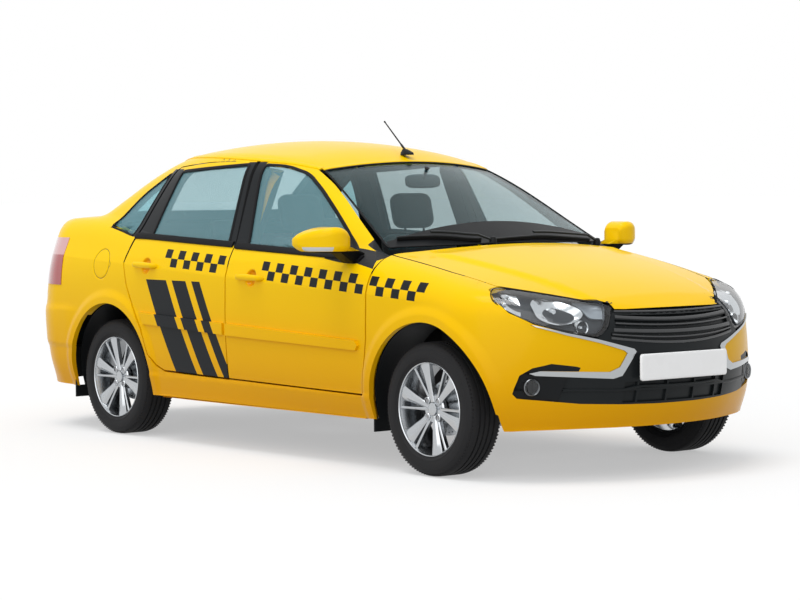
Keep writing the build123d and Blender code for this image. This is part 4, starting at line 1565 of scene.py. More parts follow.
class StudRing:
    """Equal studs round a circle, such as bolts, vents and tread blocks."""

    def __init__(self) -> None:
        """Build the tree."""
        size, whole = "NodeSocketFloat", "NodeSocketInt"
        nodes = Nodes("stud_ring", {
            "Radius": size, "Count": whole, "Sides": whole, "Stud Radius": size, "Stud Depth": size,
            "Squash": "NodeSocketVector", "Turn": "NodeSocketVector", "Centre": "NodeSocketVector",
        })
        given = nodes.given
        circle = nodes.node("GeometryNodeCurvePrimitiveCircle", None, {
            "Resolution": given["Count"], "Radius": given["Radius"],
        })[0]
        spots = nodes.node("GeometryNodeCurveToPoints", {"mode": "EVALUATED"}, {"Curve": circle})
        stud = nodes.node("GeometryNodeMeshCylinder", None, {
            "Vertices": given["Sides"], "Radius": given["Stud Radius"], "Depth": given["Stud Depth"],
        })[0]
        index = nodes.node("GeometryNodeInputIndex")[0]
        part = nodes.node("ShaderNodeMath", {"operation": "DIVIDE"}, {0: index, 1: given["Count"]})[0]
        angle = nodes.node("ShaderNodeMath", {"operation": "MULTIPLY"}, {0: part, 1: 2 * math.pi})[0]
        facing_out = nodes.node("ShaderNodeCombineXYZ", None, {"Z": angle})[0]
        studs = nodes.node("GeometryNodeInstanceOnPoints", None, {
            "Points": spots["Points"], "Instance": stud, "Rotation": facing_out, "Scale": given["Squash"],
        })[0]
        moved = nodes.node("GeometryNodeTransform", None, {
            "Geometry": studs, "Translation": given["Centre"], "Rotation": given["Turn"],
        })[0]
        nodes.close(moved, False)
        self.nodes = nodes

    def run(self, values: dict[str, object]) -> bpy.types.Mesh:
        """Make one ring of studs from named inputs."""
        return self.nodes.run(bpy.data.meshes.new("ring"), values)


class StitchRow:
    """Short rounded stitches or ticks set along a path."""

    def __init__(self) -> None:
        """Build the tree."""
        size = "NodeSocketFloat"
        nodes = Nodes("stitch_row", {"Spacing": size, "Thickness": size, "Length": size})
        given = nodes.given
        line = nodes.node("GeometryNodeMeshToCurve", None, {"Mesh": given["Geometry"]})[0]
        spaced = {"Curve": line, "Length": given["Spacing"]}
        spots = nodes.node("GeometryNodeCurveToPoints", {"mode": "LENGTH"}, spaced)
        bead = nodes.node("GeometryNodeMeshUVSphere", None, {"Segments": 6, "Rings": 4, "Radius": 0.5})[0]
        scale = nodes.node("ShaderNodeCombineXYZ", None, {
            "X": given["Thickness"], "Y": given["Thickness"], "Z": given["Length"],
        })[0]
        made = nodes.node("GeometryNodeInstanceOnPoints", None, {
            "Points": spots["Points"], "Instance": bead, "Rotation": spots["Rotation"], "Scale": scale,
        })[0]
        nodes.close(made, True)
        self.nodes = nodes

    def run(self, path: Array, values: dict[str, object]) -> bpy.types.Mesh:
        """Set one row of stitches along a path."""
        return self.nodes.run(path_mesh(path, False), values)


def joined(name: str, meshes: Sequence[bpy.types.Mesh]) -> bpy.types.Mesh:
    """Join meshes into one that keeps each one's finishes and edges."""
    finishes: list[bpy.types.Material] = []
    work = bmesh.new()
    for data in meshes:
        start = len(work.faces)
        work.from_mesh(data)
        numbers = []
        for finish in data.materials:
            if finish not in finishes:
                finishes.append(finish)
            numbers.append(finishes.index(finish))
        work.faces.ensure_lookup_table()
        for face in work.faces[start:]:
            face.material_index = numbers[face.material_index] if numbers else 0
    made = bpy.data.meshes.new(name)
    work.to_mesh(made)
    work.free()
    for finish in finishes:
        made.materials.append(finish)
    return made


@dataclass
class BodyShell:
    """Painted panels, glass and lamps laid on the body's form."""

    finishes: Finishes

    PANES = (-0.004, -0.009)
    PANE_REACH = 0.006
    STRIPS = (0.0, 0.014)

    def skins(self) -> list[tuple[Skin, str]]:
        """The skins with their record slots."""
        f = self.finishes
        plain = f.paint[PaintPart.PLAIN]
        made = [
            (Skin("hood", plain, f.under, spacing=0.028), "body_paint"),
            (Skin("fenders", f.paint[PaintPart.FENDER], f.under), "body_paint"),
            (Skin("front_bumper", plain, f.under), "body_paint"),
            (Skin("rear_bumper", plain, f.under), "body_paint"),
            (Skin("body_sides", f.paint[PaintPart.BODY_SIDE], f.cabin), "body_paint"),
            (Skin("roof_panel", plain, f.cabin, spacing=0.04), "body_paint"),
            (Skin("trunk_lid", plain, f.under), "body_paint"),
            (Skin("grille", f.fascia, f.black, (0.0, -0.015), reach=0.008), "black_plastic"),
            (Skin("chrome_trim", f.chrome, f.chrome, (0.007,), reach=0.012), "chrome"),
            (Skin("tail_lamps", f.red, f.red, (0.003,)), "lamp_red"),
            (Skin("fixed_glass", f.glass, f.glass, self.PANES, reach=self.PANE_REACH), "window_glass"),
        ]
        grips = [Dent(d.x + 0.016, d.z + 0.011, 0.0, 0.16, 0.004) for d in HOLLOWS]
        for side in SIDES:
            doors = (("front", PaintPart.FRONT_DOOR, grips[0]), ("rear", PaintPart.REAR_DOOR, grips[1]))
            for end, part, grip in doors:
                door = Skin(f"door_{end}_{side}", f.paint[part], f.cabin, self.STRIPS, bare=grip)
                made.append((door, "body_paint"))
            glass = f.side_glass
            for end in ("front", "rear"):
                pane = Skin(f"glass_{end}_{side}", glass, glass, self.PANES, reach=self.PANE_REACH)
                made.append((pane, "window_glass"))
        return made

    def build(self) -> None:
        """Make every skin and let it stand for its node."""
        for skin, slot in self.skins():
            stand_in(skin.build(), skin.node, slot)


# Wheels, lamps, trim and cabin

@dataclass
class Wheels:
    """Tyres and alloy wheels, turned and spoked about each wheel's own centre."""

    finishes: Finishes
    studs: StudRing
    front_x: float = FINISHED.front_axle
    rear_x: float = FINISHED.rear_axle
    height: float = FINISHED.axle_height
    front_y: float = 0.715
    rear_y: float = 0.707
    pairs: int = 6
    phase: float = -12.0
    slim_turn: float = -19.0
    bolt_circle: float = 0.049
    lugs: int = 104

    TYRE = (
        (0.200, 0.076), (0.208, 0.083), (0.217, 0.0885), (0.2175, 0.0895), (0.2215, 0.0905), (0.222, 0.0897),
        (0.232, 0.0918), (0.245, 0.0924), (0.258, 0.0908), (0.2585, 0.0914), (0.262, 0.0900), (0.270, 0.0870),
        (0.279, 0.0800), (0.2855, 0.0710), (0.2885, 0.0630), (0.2897, 0.0520),
    )
    GROOVES = (0.040, 0.013)
    BROAD = (
        (0.030, 0.012, 0.058, 0.036), (0.060, 0.014, 0.061, 0.036), (0.100, 0.018, 0.066, 0.040),
        (0.150, 0.025, 0.071, 0.046), (0.186, 0.032, 0.0745, 0.052), (0.199, 0.035, 0.0755, 0.058),
    )
    SLIM = (
        (0.034, 0.010, 0.054, 0.036), (0.062, 0.008, 0.058, 0.038), (0.110, 0.0062, 0.064, 0.044),
        (0.160, 0.0062, 0.070, 0.050), (0.199, 0.0075, 0.0745, 0.056),
    )
    BARREL = (
        (0.2005, 0.0760), (0.2045, 0.0805), (0.2020, 0.0830), (0.1985, 0.0800), (0.1965, 0.0720),
        (0.1900, 0.0600), (0.1850, 0.0150), (0.1790, -0.0300), (0.1880, -0.0700), (0.2005, -0.0760),
    )
    HUB = ((0.0, 0.0520), (0.058, 0.0520), (0.064, 0.047), (0.064, 0.030), (0.0, 0.030))
    CAP = (
        (0.0, 0.0670), (0.014, 0.0668), (0.022, 0.0655), (0.027, 0.0630), (0.029, 0.057), (0.029, 0.050),
    )
    CUP = ((0.0118, 0.0625), (0.0145, 0.0628), (0.0165, 0.060), (0.0165, 0.048))
    CUP_FLOOR = ((0.0, 0.0528), (0.0118, 0.0528), (0.0118, 0.0625))
    DISC = ((0.066, -0.024), (0.120, -0.024), (0.120, -0.036), (0.066, -0.036))
    DISC_HUB = ((0.0, 0.020), (0.064, 0.020), (0.066, -0.036))
    EVEN = (1.0, 1.0, 1.0)

    def place(self, end: str, side: str) -> Matrix:
        """Where a wheel stands: its own z axis points outwards and its y axis up."""
        x, y = (self.front_x, self.front_y) if end == "front" else (self.rear_x, self.rear_y)
        upright = Matrix(((1, 0, 0, 0), (0, 0, -1, 0), (0, 1, 0, 0), (0, 0, 0, 1)))
        if side == "right":
            return Matrix.Translation((x, -y, self.height)) @ upright
        return Matrix.Translation((x, y, self.height)) @ Matrix.Rotation(math.pi, 4, "Z") @ upright

    def ring(self, place: Matrix, along: float, values: dict[str, object],
             turn: float = 0.0) -> bpy.types.Mesh:
        """A ring of studs about the wheel's axle, some way along it."""
        spun = place.to_3x3() @ Matrix.Rotation(turn, 3, "Z")
        centre = place @ Vector((0, 0, along))
        return self.studs.run({"Centre": tuple(centre), "Turn": tuple(spun.to_euler()), **values})

    def tyre(self, place: Matrix) -> bpy.types.Mesh:
        """The tyre with its grooves and the lugs along its shoulders."""
        tread = []
        for middle in self.GROOVES:
            tread += [(0.2899, middle + 0.0050), (0.2840, middle + 0.0042), (0.2840, middle - 0.0042),
                      (0.2899, middle - 0.0050)]
        half = list(self.TYRE) + tread
        shape = Shape()
        shape.turned(half + [(r, -h) for r, h in reversed(half)], 120, place)
        meshes = [shape.mesh("tyre", [self.finishes.rubber], 50.0)]
        lug = {"Radius": 0.2832, "Count": self.lugs, "Sides": 4, "Stud Radius": 0.0046, "Stud Depth": 0.013,
               "Squash": (0.45, 1.0, 1.0), "Material": self.finishes.rubber}
        for along in (0.0735, -0.0735):
            meshes.append(self.ring(place, along, lug))
        return joined("tyre", meshes)

    def spoke(self, shape: Shape, place: Matrix, turn: float, rows: Sequence, flank: int, rear: int) -> None:
        """Add one spoke.

        Args:
            shape: the wheel's shape.
            place: where the wheel stands.
            turn: degrees clockwise from the top.
            rows: radius, half width, face and back along it.
            flank: finish of the slanted flanks, a darker alloy as painted shade.
            rear: finish of the back, a nearly black alloy as painted shade.
        """
        a = math.radians(turn)
        out, over = Vector((math.sin(a), math.cos(a), 0)), Vector((math.cos(a), -math.sin(a), 0))
        rings = []
        for r, w, face, back in rows:
            fall = min(w * 0.42, 0.009)
            section = (
                (-w, back), (-w, face - fall), (-0.42 * w, face), (0.72 * w, face - 0.0008),
                (w, face - 0.005), (w, back),
            )
            rings.append([place @ (out * r + over * o + Vector((0, 0, z))) for o, z in section])
        shape.loops(rings, 0, True, {1: flank, 3: flank, 5: rear})

    def rim(self, place: Matrix) -> bpy.types.Mesh:
        """The wheel: barrel, six pairs of spokes, hub with its cap, bolts and the brake disc behind."""
        f = self.finishes
        # Dull and dark are painted shade on the flanks, backs, hub and barrel, which sit in shade behind the
        # bright faces.
        finishes = [f.alloy, f.alloy_dull, f.alloy_dark, f.black, f.steel]
        bright, dull, dark, black, steel = range(len(finishes))
        shape = Shape()
        shape.turned(self.BARREL, 96, place, dark)
        for pair in range(self.pairs):
            turn = self.phase + pair * 360 / self.pairs
            self.spoke(shape, place, turn, self.BROAD, dull, dark)
            self.spoke(shape, place, turn + self.slim_turn, self.SLIM, dull, dark)
        shape.turned(self.HUB, 48, place, dull)
        shape.turned(self.CAP, 40, place, bright)
        reach = self.bolt_circle
        for k in range(4):
            a = math.radians(45 + 90 * k)
            cup = place @ Matrix.Translation((reach * math.cos(a), reach * math.sin(a), 0))
            shape.turned(self.CUP, 20, cup, bright)
            shape.turned(self.CUP_FLOOR, 20, cup, black)
        shape.turned(self.DISC, 64, place, steel)
        shape.turned(self.DISC_HUB, 40, place, black)
        bolts = {"Radius": reach, "Count": 4, "Sides": 6, "Stud Radius": 0.0078, "Stud Depth": 0.010,
                 "Squash": self.EVEN, "Material": f.steel}
        vents = {"Radius": 0.106, "Count": 30, "Sides": 8, "Stud Radius": 0.0035, "Stud Depth": 0.001,
                 "Squash": self.EVEN, "Material": f.black}
        meshes = [shape.mesh("rim", finishes, 28.0)]
        meshes.append(self.ring(place, 0.056, bolts, math.radians(45)))
        meshes.append(self.ring(place, -0.0238, vents))
        return joined("rim", meshes)

    def build(self) -> None:
        """Make the four wheels."""
        for end in ("front", "rear"):
            for side in SIDES:
                place = self.place(end, side)
                tyre, rim = f"tyre_{end}_{side}", f"rim_{end}_{side}"
                stand_in(place_piece(f"{tyre}_tread", self.tyre(place)), tyre, "tyre_rubber")
                stand_in(place_piece(f"{rim}_spokes", self.rim(place)), rim, "alloy")


def facing(spot: Point, ahead: Vector) -> Matrix:
    """A place whose own z axis points ahead and whose y axis points up."""
    z = ahead.normalized()
    x = Vector((0, 0, 1)).cross(z).normalized()
    turned = Matrix((x, z.cross(x), z)).transposed().to_4x4()
    return Matrix.Translation(spot) @ turned


@dataclass
class Headlamps:
    """Head lamps: clear cover, dark bezel, turn lamp, main reflector and small lamp, all in one housing."""

    finishes: Finishes
    sweep: Sweep

    OUTLINE = (
        (-738, 772), (-696, 807), (-655, 819), (-486, 779), (-313, 735), (-345, 711), (-372, 645),
        (-417, 611), (-539, 632), (-643, 668), (-711, 716),
    )
    BEZEL = (
        (-728, 770), (-694, 798), (-653, 809), (-486, 770), (-335, 731), (-354, 707), (-380, 648),
        (-420, 620), (-539, 641), (-640, 676), (-704, 721),
    )
    TURN = ((-632, 796), (-590, 786), (-650, 737), (-662, 692), (-695, 708), (-695, 756))
    MAIN = (
        (-611, 748), (-562, 771), (-492, 764), (-450, 745), (-434, 714), (-455, 690), (-523, 660),
        (-583, 667), (-618, 697),
    )
    INNER = ((-425, 756), (-325, 732), (-352, 706), (-362, 682), (-425, 688), (-432, 733))
    SMALL = (-462, 650)
    SHADE = (-528, 716)
    BULB = (-676, 748)
    SHADE_PROFILE = ((0.0, 0.030), (0.010, 0.028), (0.014, 0.020), (0.014, 0.0), (0.020, -0.004))
    BULB_PROFILE = ((0.0, 0.024), (0.008, 0.021), (0.011, 0.013), (0.010, 0.004), (0.006, 0.0))

    def lens_lamp(self, shape: Shape, spot: Spot, depth: float, radius: float) -> None:
        """A small round lamp: bright bowl, ring and a glass dome."""
        p = View.FRONT.lift(np.array([spot]) * MM, depth)[0]
        place = facing(tuple(p), Vector((1.0, spot[0] * 0.0004, 0.0)))
        r = radius
        shape.turned([(r, 0.006), (r * 1.12, 0.008), (r * 1.2, 0.004), (r * 1.2, -0.03)], 40, place, 0)
        shape.turned([(0.0, -0.020), (r * 0.5, -0.016), (r * 0.86, -0.004), (r, 0.006)], 40, place, 0)
        shape.turned([(0.0, 0.002), (r * 0.24, -0.001), (r * 0.34, -0.008), (r * 0.36, -0.02)], 24, place, 1)

    def build(self) -> None:
        """Make both lamps."""
        f = self.finishes
        parts = []
        for name, outline, finish, sizes in (
            ("lamp_bezel", self.BEZEL, f.bezel, (-0.034, 0.012, -0.033, 0.014)),
            ("lamp_turn", self.TURN, f.reflector, (-0.026, 0.020, 0.012, 0.009)),
            ("lamp_main", self.MAIN, f.reflector, (-0.022, 0.040, 0.016, 0.009)),
            ("lamp_inner", self.INNER, f.lamp_grey, (-0.026, 0.004, 0.008, 0.012)),
        ):
            parts.append(Patch(outline, View.FRONT, *sizes, both=True).build(name, finish))
        shape = Shape()
        self.lens_lamp(shape, self.SMALL, -0.030, 0.026)
        p = View.FRONT.lift(np.array([self.SHADE]) * MM, -0.052)[0]
        shape.turned(self.SHADE_PROFILE, 28, facing(tuple(p), Vector((1, -0.2, 0))), 0)
        p = View.FRONT.lift(np.array([self.BULB]) * MM, -0.038)[0]
        shape.turned(self.BULB_PROFILE, 24, facing(tuple(p), Vector((1, -0.5, 0))), 2)
        shape.mirrored()
        parts.append(shape.mesh("lamp_bowls", [f.reflector, f.chrome, f.amber]))
        path = View.FRONT.lift(loop_path(self.OUTLINE, True, 0.012, 0.008), -0.001)
        path[:, 0] = sum(np.roll(path[:, 0], k) for k in range(-4, 5)) / 9
        for sign in (1, -1):
            parts.append(self.sweep.run(path * (1, sign, 1), 0.005, 0.003, f.seal, True))
        add_on("headlamp_inside", joined("headlamp_inside", parts), "body")
        cover = Patch(self.OUTLINE, View.FRONT, -0.001, 0.0, 0.006, 0.014, True)
        piece = place_piece("headlamp_cover", cover.build("headlamp_cover", f.clear))
        stand_in(piece, "headlamps", "lamp_clear")


@dataclass
class Nose:
    """Grille slats and ticks, the lower grille's frame, fog lamps and the blank plate."""

    finishes: Finishes
    sweep: Sweep
    ticks: StitchRow
    plate_back: float = 2.1225
    plate_z: float = 0.481
    plate_width: float = 0.520
    plate_height: float = 0.112
    holder: float = 0.0085
    fog_radius: float = 0.030
    tick_reach: float = 290.0

    FRAME = ((-548, 392), (-430, 390), (-292, 384), (-246, 402), (-120, 398), (0, 397))
    SLATS = ((709, 714, 322, 0.009), (678, 693, 330, 0.015), (653, 667, 336, 0.007), (627, 640, 348, 0.016),
             (602, 622, 356, 0.007), (580, 607, 362, 0.012))
    TICKS = ((695, 9), (661, 8), (645, 8), (611, 8))
    FOG = (-655, 406)
    POCKET = ((-742, 372), (-735, 350), (-600, 345), (-450, 343), (-450, 392), (-620, 392), (-735, 392))

    def rounded(self, width: float, height: float, corner: float) -> Array:
        """Outline of a rectangle with round corners."""
        points = []
        for i, (sx, sy) in enumerate(((1, 1), (-1, 1), (-1, -1), (1, -1))):
            for k in range(6):
                a = math.radians(90 * i + 18 * k)
                points.append((sx * (width / 2 - corner) + corner * math.cos(a),
                               sy * (height / 2 - corner) + corner * math.sin(a)))
        return np.array(points)

    def plate(self) -> None:
        """The blank plate, raised in two steps on its holder."""
        f = self.finishes
        place = Matrix(((0, 0, 1, self.plate_back), (1, 0, 0, 0), (0, 1, 0, self.plate_z), (0, 0, 0, 1)))
        shape = Shape()
        front = place @ Matrix.Translation((0, 0, self.holder))
        for inset, corner, spot, thickness, bevel, finish in (
            (0.0, 0.012, place, self.holder, 0.002, 1),
            (0.006, 0.010, front, 0.002, 0.0008, 0),
            (0.016, 0.008, front, 0.0026, 0.0004, 0),
        ):
            outline = self.rounded(self.plate_width - inset, self.plate_height - inset, corner)
            shape.slab(outline, spot, thickness, bevel, finish)
        plate = place_piece("number_plate_blank", shape.mesh("plate", [f.white, f.black]))
        stand_in(plate, "number_plate", "plate_white")

    def fog_lamps(self) -> None:
        """Round fog lamps in the pockets: dull bowl with its ring and a clear cover."""
        f = self.finishes
        shape, cover = Shape(), Shape()
        p = View.FRONT.lift(np.array([self.FOG]) * MM, -0.004)[0]
        place = facing(tuple(p), Vector((1.0, -0.35, 0.0)))
        r = self.fog_radius
        shape.turned([(r, 0.004), (r * 1.10, 0.007), (r * 1.2, 0.003), (r * 1.22, -0.035)], 48, place, 1)
        shape.turned([(0.0, -0.028), (r * 0.45, -0.024), (r * 0.8, -0.012), (r, 0.004)], 48, place, 0)
        shape.turned([(0.0, -0.004), (r * 0.22, -0.006), (r * 0.3, -0.014), (r * 0.3, -0.028)], 24, place, 0)
        cover.turned([(0.0, 0.007), (r * 0.5, 0.0062), (r * 0.9, 0.0035), (r, 0.002)], 40, place, 0)
        shape.mirrored()
        cover.mirrored()
        add_on("fog_lamp_bowls", shape.mesh("fog_bowls", [f.alloy_dull, f.fascia]), "body")
        add_on("fog_lamp_covers", cover.mesh("fog_covers", [f.clear]), "body")

    def bow(self, middle: float, rise: float, reach: float, depth: float) -> Array:
        """A line across the nose whose ends rise.

        Args:
            middle: height at the middle in millimetres.
            rise: how much higher the ends are.
            reach: how far to each side it goes.
            depth: wanted field value in metres.

        Returns:
            Points on the form, in metres.
        """
        y = np.linspace(-reach, reach, 60)
        return View.FRONT.lift(np.stack([y, middle + rise * (y / reach) ** 2], 1) * MM, depth)

    def grille(self) -> None:
        """The lower grille's frame bar, the fog pockets' backs, the slats and the ticks between them."""
        f = self.finishes
        half = np.array(self.FRAME, float)
        whole = np.vstack([half, np.stack([-half[-2::-1, 0], half[-2::-1, 1]], 1)])
        path = View.FRONT.lift(loop_path(whole, False, 0.012, 0.02), 0.001)
        meshes = [self.sweep.run(path, 0.011, 0.010, f.fascia)]
        pocket = Patch(self.POCKET, View.FRONT, -0.012, 0.0, 0.0, 0.02, True)
        meshes.append(pocket.build("pocket_back", f.black))
        for middle, end, reach, width in self.SLATS:
            path = self.bow(middle, end - middle, reach, -0.002)
            meshes.append(self.sweep.run(path, width, 0.012, f.slat))
        size = {"Spacing": 0.075, "Thickness": 0.003, "Length": 0.003, "Material": f.slat}
        for middle, rise in self.TICKS:
            meshes.append(self.ticks.run(self.bow(middle, rise, self.tick_reach, -0.006), size))
        add_on("grille_ticks", joined("grille_ticks", meshes), "body")

    def build(self) -> None:
        """Make the nose's small pieces."""
        self.plate()
        self.fog_lamps()
        self.grille()


@dataclass
class Seals:
    """Seals, belt and roof mouldings, sail panels, inner door edges and wipers."""

    finishes: Finishes
    sweep: Sweep

    FRONT_GLASS = (
        (47, 964), (-49, 1352), (97, 1344), (260, 1306), (406, 1229), (541, 1141), (680, 1046), (803, 956),
        (838, 930),
    )
    REAR_GLASS = ((-785, 1002), (-730, 1326), (-154, 1355), (-106, 973))
    QUARTER_GLASS = ((-1214, 1052), (-1053, 1213), (-852, 1322), (-960, 1004))
    FRONT_BELT = ((-38, 970), (47, 966), (430, 950), (842, 932), (893, 925))
    REAR_BELT = ((-922, 1006), (-787, 1004), (-440, 990), (-64, 975))
    SAIL = (
        (690, 1048), (790, 982), (868, 938), (896, 926), (894, 910), (868, 902), (760, 909), (640, 925),
        (650, 940), (742, 950), (716, 1000),
    )
    WINDSHIELD = (
        (950, -655), (1096, 0), (950, 655), (545, 568), (298, 510), (352, 0), (298, -510), (545, -568),
    )
    BACKLIGHT = ((-1466, -540), (-1612, 0), (-1466, 540), (-950, 425), (-1028, 0), (-950, -425))
    WIPERS = (
        ((1076, -150), (1060, -250), (1010, -350), (962, -480), (926, -590)),
        ((1000, 575), (1022, 470), (1048, 330), (1058, 160), (1078, -20), (1082, -150)),
    )
    FRIT = (((958, -648), (1100, 0), (958, 648)), ((900, 638), (1042, 0), (900, -638)))
    ROOF_LINE = ((272, 508), (-350, 583), (-932, 444))
    ROOF_FRONT = ((280, -508), (335, 0), (280, 508))
    ROOF_BACK = ((-940, -443), (-1018, 0), (-940, 443))
    CARD_DROP = 24
    PIVOT = ((0.0, 0.028), (0.012, 0.026), (0.016, 0.018), (0.018, 0.0), (0.018, -0.02))

    def ring(self, outline: Sequence, view: View, width: float, height: float,
             sign: int = 1) -> bpy.types.Mesh:
        """A closed seal round a pane."""
        path = view.lift(loop_path(outline, True, 0.012, 0.010), -0.001) * (1, sign, 1)
        return self.sweep.run(path, width, height, self.finishes.seal, True)

    def line(self, points: Sequence, width: float, height: float, sign: int) -> bpy.types.Mesh:
        """An open moulding along the side."""
        path = View.RIGHT.lift(loop_path(points, False, 0.02, 0.02), 0.002) * (1, sign, 1)
        return self.sweep.run(path, width, height, self.finishes.seal)

    def card(self, points: Sequence, sign: int) -> bpy.types.Mesh:
        """The padded upper edge of a door's inner card, below the glass."""
        lowered = [(x, z - self.CARD_DROP) for x, z in points]
        path = View.RIGHT.lift(loop_path(lowered, False, 0.02, 0.02), -0.034) * (1, sign, 1)
        return self.sweep.run(path, 0.060, 0.014, self.finishes.cabin)

    def doors(self) -> None:
        """Seals and belt mouldings that swing with the doors."""
        for side, sign, view in zip(SIDES, (1, -1), (View.RIGHT, View.LEFT)):
            front = [
                self.ring(self.FRONT_GLASS, View.RIGHT, 0.018, 0.007, sign),
                self.line(self.FRONT_BELT, 0.034, 0.014, sign),
                Patch(self.SAIL, view, 0.0015, 0.0, 0.004).build("sail", self.finishes.black),
                self.card(self.FRONT_BELT[:-1], sign),
            ]
            rear = [
                self.ring(self.REAR_GLASS, View.RIGHT, 0.018, 0.007, sign),
                self.line(self.REAR_BELT, 0.032, 0.014, sign),
                self.card(self.REAR_BELT, sign),
            ]
            for end, meshes in (("front", front), ("rear", rear)):
                name = f"seals_{end}_{side}"
                add_on(name, joined(name, meshes), f"{end}_door_{side}")

    def body(self) -> None:
        """Seals of the fixed panes and the dark band along the windshield's foot."""
        w, b = self.WINDSHIELD, self.BACKLIGHT
        screen = arc_points(*w[:3]) + list(w[3:4]) + arc_points(*w[4:7]) + list(w[7:])
        back = arc_points(*b[:3]) + arc_points(*b[3:])
        meshes = [self.ring(pane, View.ABOVE, 0.010, 0.005) for pane in (screen, back)]
        for sign in (1, -1):
            meshes.append(self.ring(self.QUARTER_GLASS, View.RIGHT, 0.009, 0.006, sign))
        outline = arc_points(*self.FRIT[0]) + arc_points(*self.FRIT[1])
        band = Patch(outline, View.ABOVE, -0.0015, 0.0, 0.0, 0.02)
        meshes.append(band.build("cowl_band", self.finishes.black))
        add_on("seals_body", joined("seals_body", meshes), "body")

    def roof(self) -> None:
        """Body-coloured mouldings over the joints between roof and sides."""
        path = View.ABOVE.lift(np.array(arc_points(*self.ROOF_LINE, 60)) * MM, 0.0)
        paint = self.finishes.paint[PaintPart.PLAIN]
        meshes = []
        for side in (1, -1):
            meshes.append(self.sweep.run(path * (1, side, 1), 0.028, 0.008, paint))
        for ends in (self.ROOF_FRONT, self.ROOF_BACK):
            path = View.ABOVE.lift(np.array(arc_points(*ends, 60)) * MM, 0.0)
            meshes.append(self.sweep.run(path, 0.026, 0.005, paint))
        add_on("roof_mouldings", joined("roof_mouldings", meshes), "body")

    def wipers(self) -> None:
        """Two wiper arms with their blades, lying on the windshield."""
        f = self.finishes
        meshes = []
        for route in self.WIPERS:
            line = loop_path(route, False, 0.016, 0.05)
            blade = View.ABOVE.lift(line[4:], 0.012)
            rib = View.ABOVE.lift(line[4:], 0.003)
            arm = View.ABOVE.lift(line[:len(line) * 2 // 3], 0.030)
            arm[:6, 2] += np.linspace(-0.026, 0, 6)
            meshes.append(self.sweep.run(blade, 0.013, 0.010, f.black))
            meshes.append(self.sweep.run(rib, 0.004, 0.010, f.seal))
            meshes.append(self.sweep.run(arm, 0.015, 0.009, f.fascia))
            shape = Shape()
            p = View.ABOVE.lift(np.array([route[0]]) * MM, -0.004)[0]
            shape.turned(self.PIVOT, 24, Matrix.Translation(tuple(p)))
            meshes.append(shape.mesh("wiper_pivot", [f.black]))
        stand_in(place_piece("wiper_blades", joined("wiper_blades", meshes)), "wipers", "black_plastic")

    def build(self) -> None:
        """Make every seal and the wipers."""
        self.doors()
        self.body()
        self.roof()
        self.wipers()


@dataclass
class Handles:
    """Bar handles over their round hollows."""

    finishes: Finishes
    back: float = -0.103
    front: float = 0.108
    half_height: float = 0.0155
    proud: float = 0.027
    sink: float = 0.006
    thickness: float = 0.0105
    end_share: float = 0.12
    foot_x: float = 0.075
    foot_length: float = 0.020
    foot_height: float = 0.011

    def skin_y(self, x: float, z: float) -> float:
        """Where the plain right-hand side lies."""
        return DRAWN.meet(np.array([(x, 0.0, z)]), 1, -0.3, -1.2)[0][1]

    def bar(self, centre: Dent) -> Shape:
        """One handle on the right-hand side."""
        shape = Shape()
        rings = []
        for t in np.linspace(0, 1, 25):
            x = centre.x + self.back + (self.front - self.back) * t
            z = centre.z + 0.002 + 0.004 * (1 - t)
            end = min(t, 1 - t) / self.end_share
            swell = math.sqrt(max(1 - max(1 - end, 0) ** 2, 0.02))
            y = self.skin_y(x, z) - self.sink - self.proud * min(1.0, end * 1.1)
            half = self.half_height * (0.72 + 0.28 * math.sin(math.pi * t)) * swell
            deep = self.thickness * swell
            ring = []
            for k in range(14):
                a = 2 * math.pi * k / 14
                ring.append((x, y + deep * math.cos(a), z + half * math.sin(a)))
            rings.append(ring)
        shape.loops(rings)
        foot = []
        x = centre.x + self.foot_x
        skin = self.skin_y(x, centre.z)
        for out in (0.004, -0.028):
            ring = []
            for a in np.linspace(0, 2 * math.pi, 16, endpoint=False):
                along, up = self.foot_length * math.cos(a), self.foot_height * math.sin(a)
                ring.append((x + along, skin + out, centre.z + up))
            foot.append(ring)
        shape.loops(foot)
        return shape

    def build(self) -> None:
        """Make the four handles."""
        for end, dent in zip(("front", "rear"), HOLLOWS):
            for side in SIDES:
                shape = self.bar(dent)
                if side == "left":
                    shape.flip()
                name = f"handle_{end}_{side}"
                data = shape.mesh(name, [self.finishes.paint[PaintPart.PLAIN]], 50.0)
                add_on(name, data, f"{end}_door_{side}")


@dataclass
class Smoothed:
    """A node's own solid, shaded smoothly and given a better finish."""

    node: str
    finishes: Sequence[bpy.types.Material]
    slot: str
    crisp: float = 32.0
    bevel: float = 0.0

    FLAT = math.radians(2)
    SHARP = math.radians(30)

    def build(self) -> None:
        """Make the piece and let it stand for its node."""
        work = bmesh.new()
        work.from_mesh(frame["nodes"][self.node].data)
        bmesh.ops.remove_doubles(work, verts=work.verts, dist=2e-5)
        if self.bevel:
            bmesh.ops.dissolve_limit(work, angle_limit=self.FLAT, verts=work.verts, edges=work.edges)
            sharp = [e for e in work.edges if len(e.link_faces) == 2 and e.calc_face_angle() > self.SHARP]
            bmesh.ops.bevel(work, geom=sharp, offset=self.bevel, segments=2, affect="EDGES", profile=0.6)
            bmesh.ops.triangulate(work, faces=work.faces[:])
        data = bpy.data.meshes.new(f"{self.node}_smooth")
        work.to_mesh(data)
        work.free()
        data.polygons.foreach_set("material_index", np.zeros(len(data.polygons), int))
        piece = place_piece(f"{self.node}_smooth", finish_mesh(data, self.finishes, self.crisp))
        stand_in(piece, self.node, self.slot)


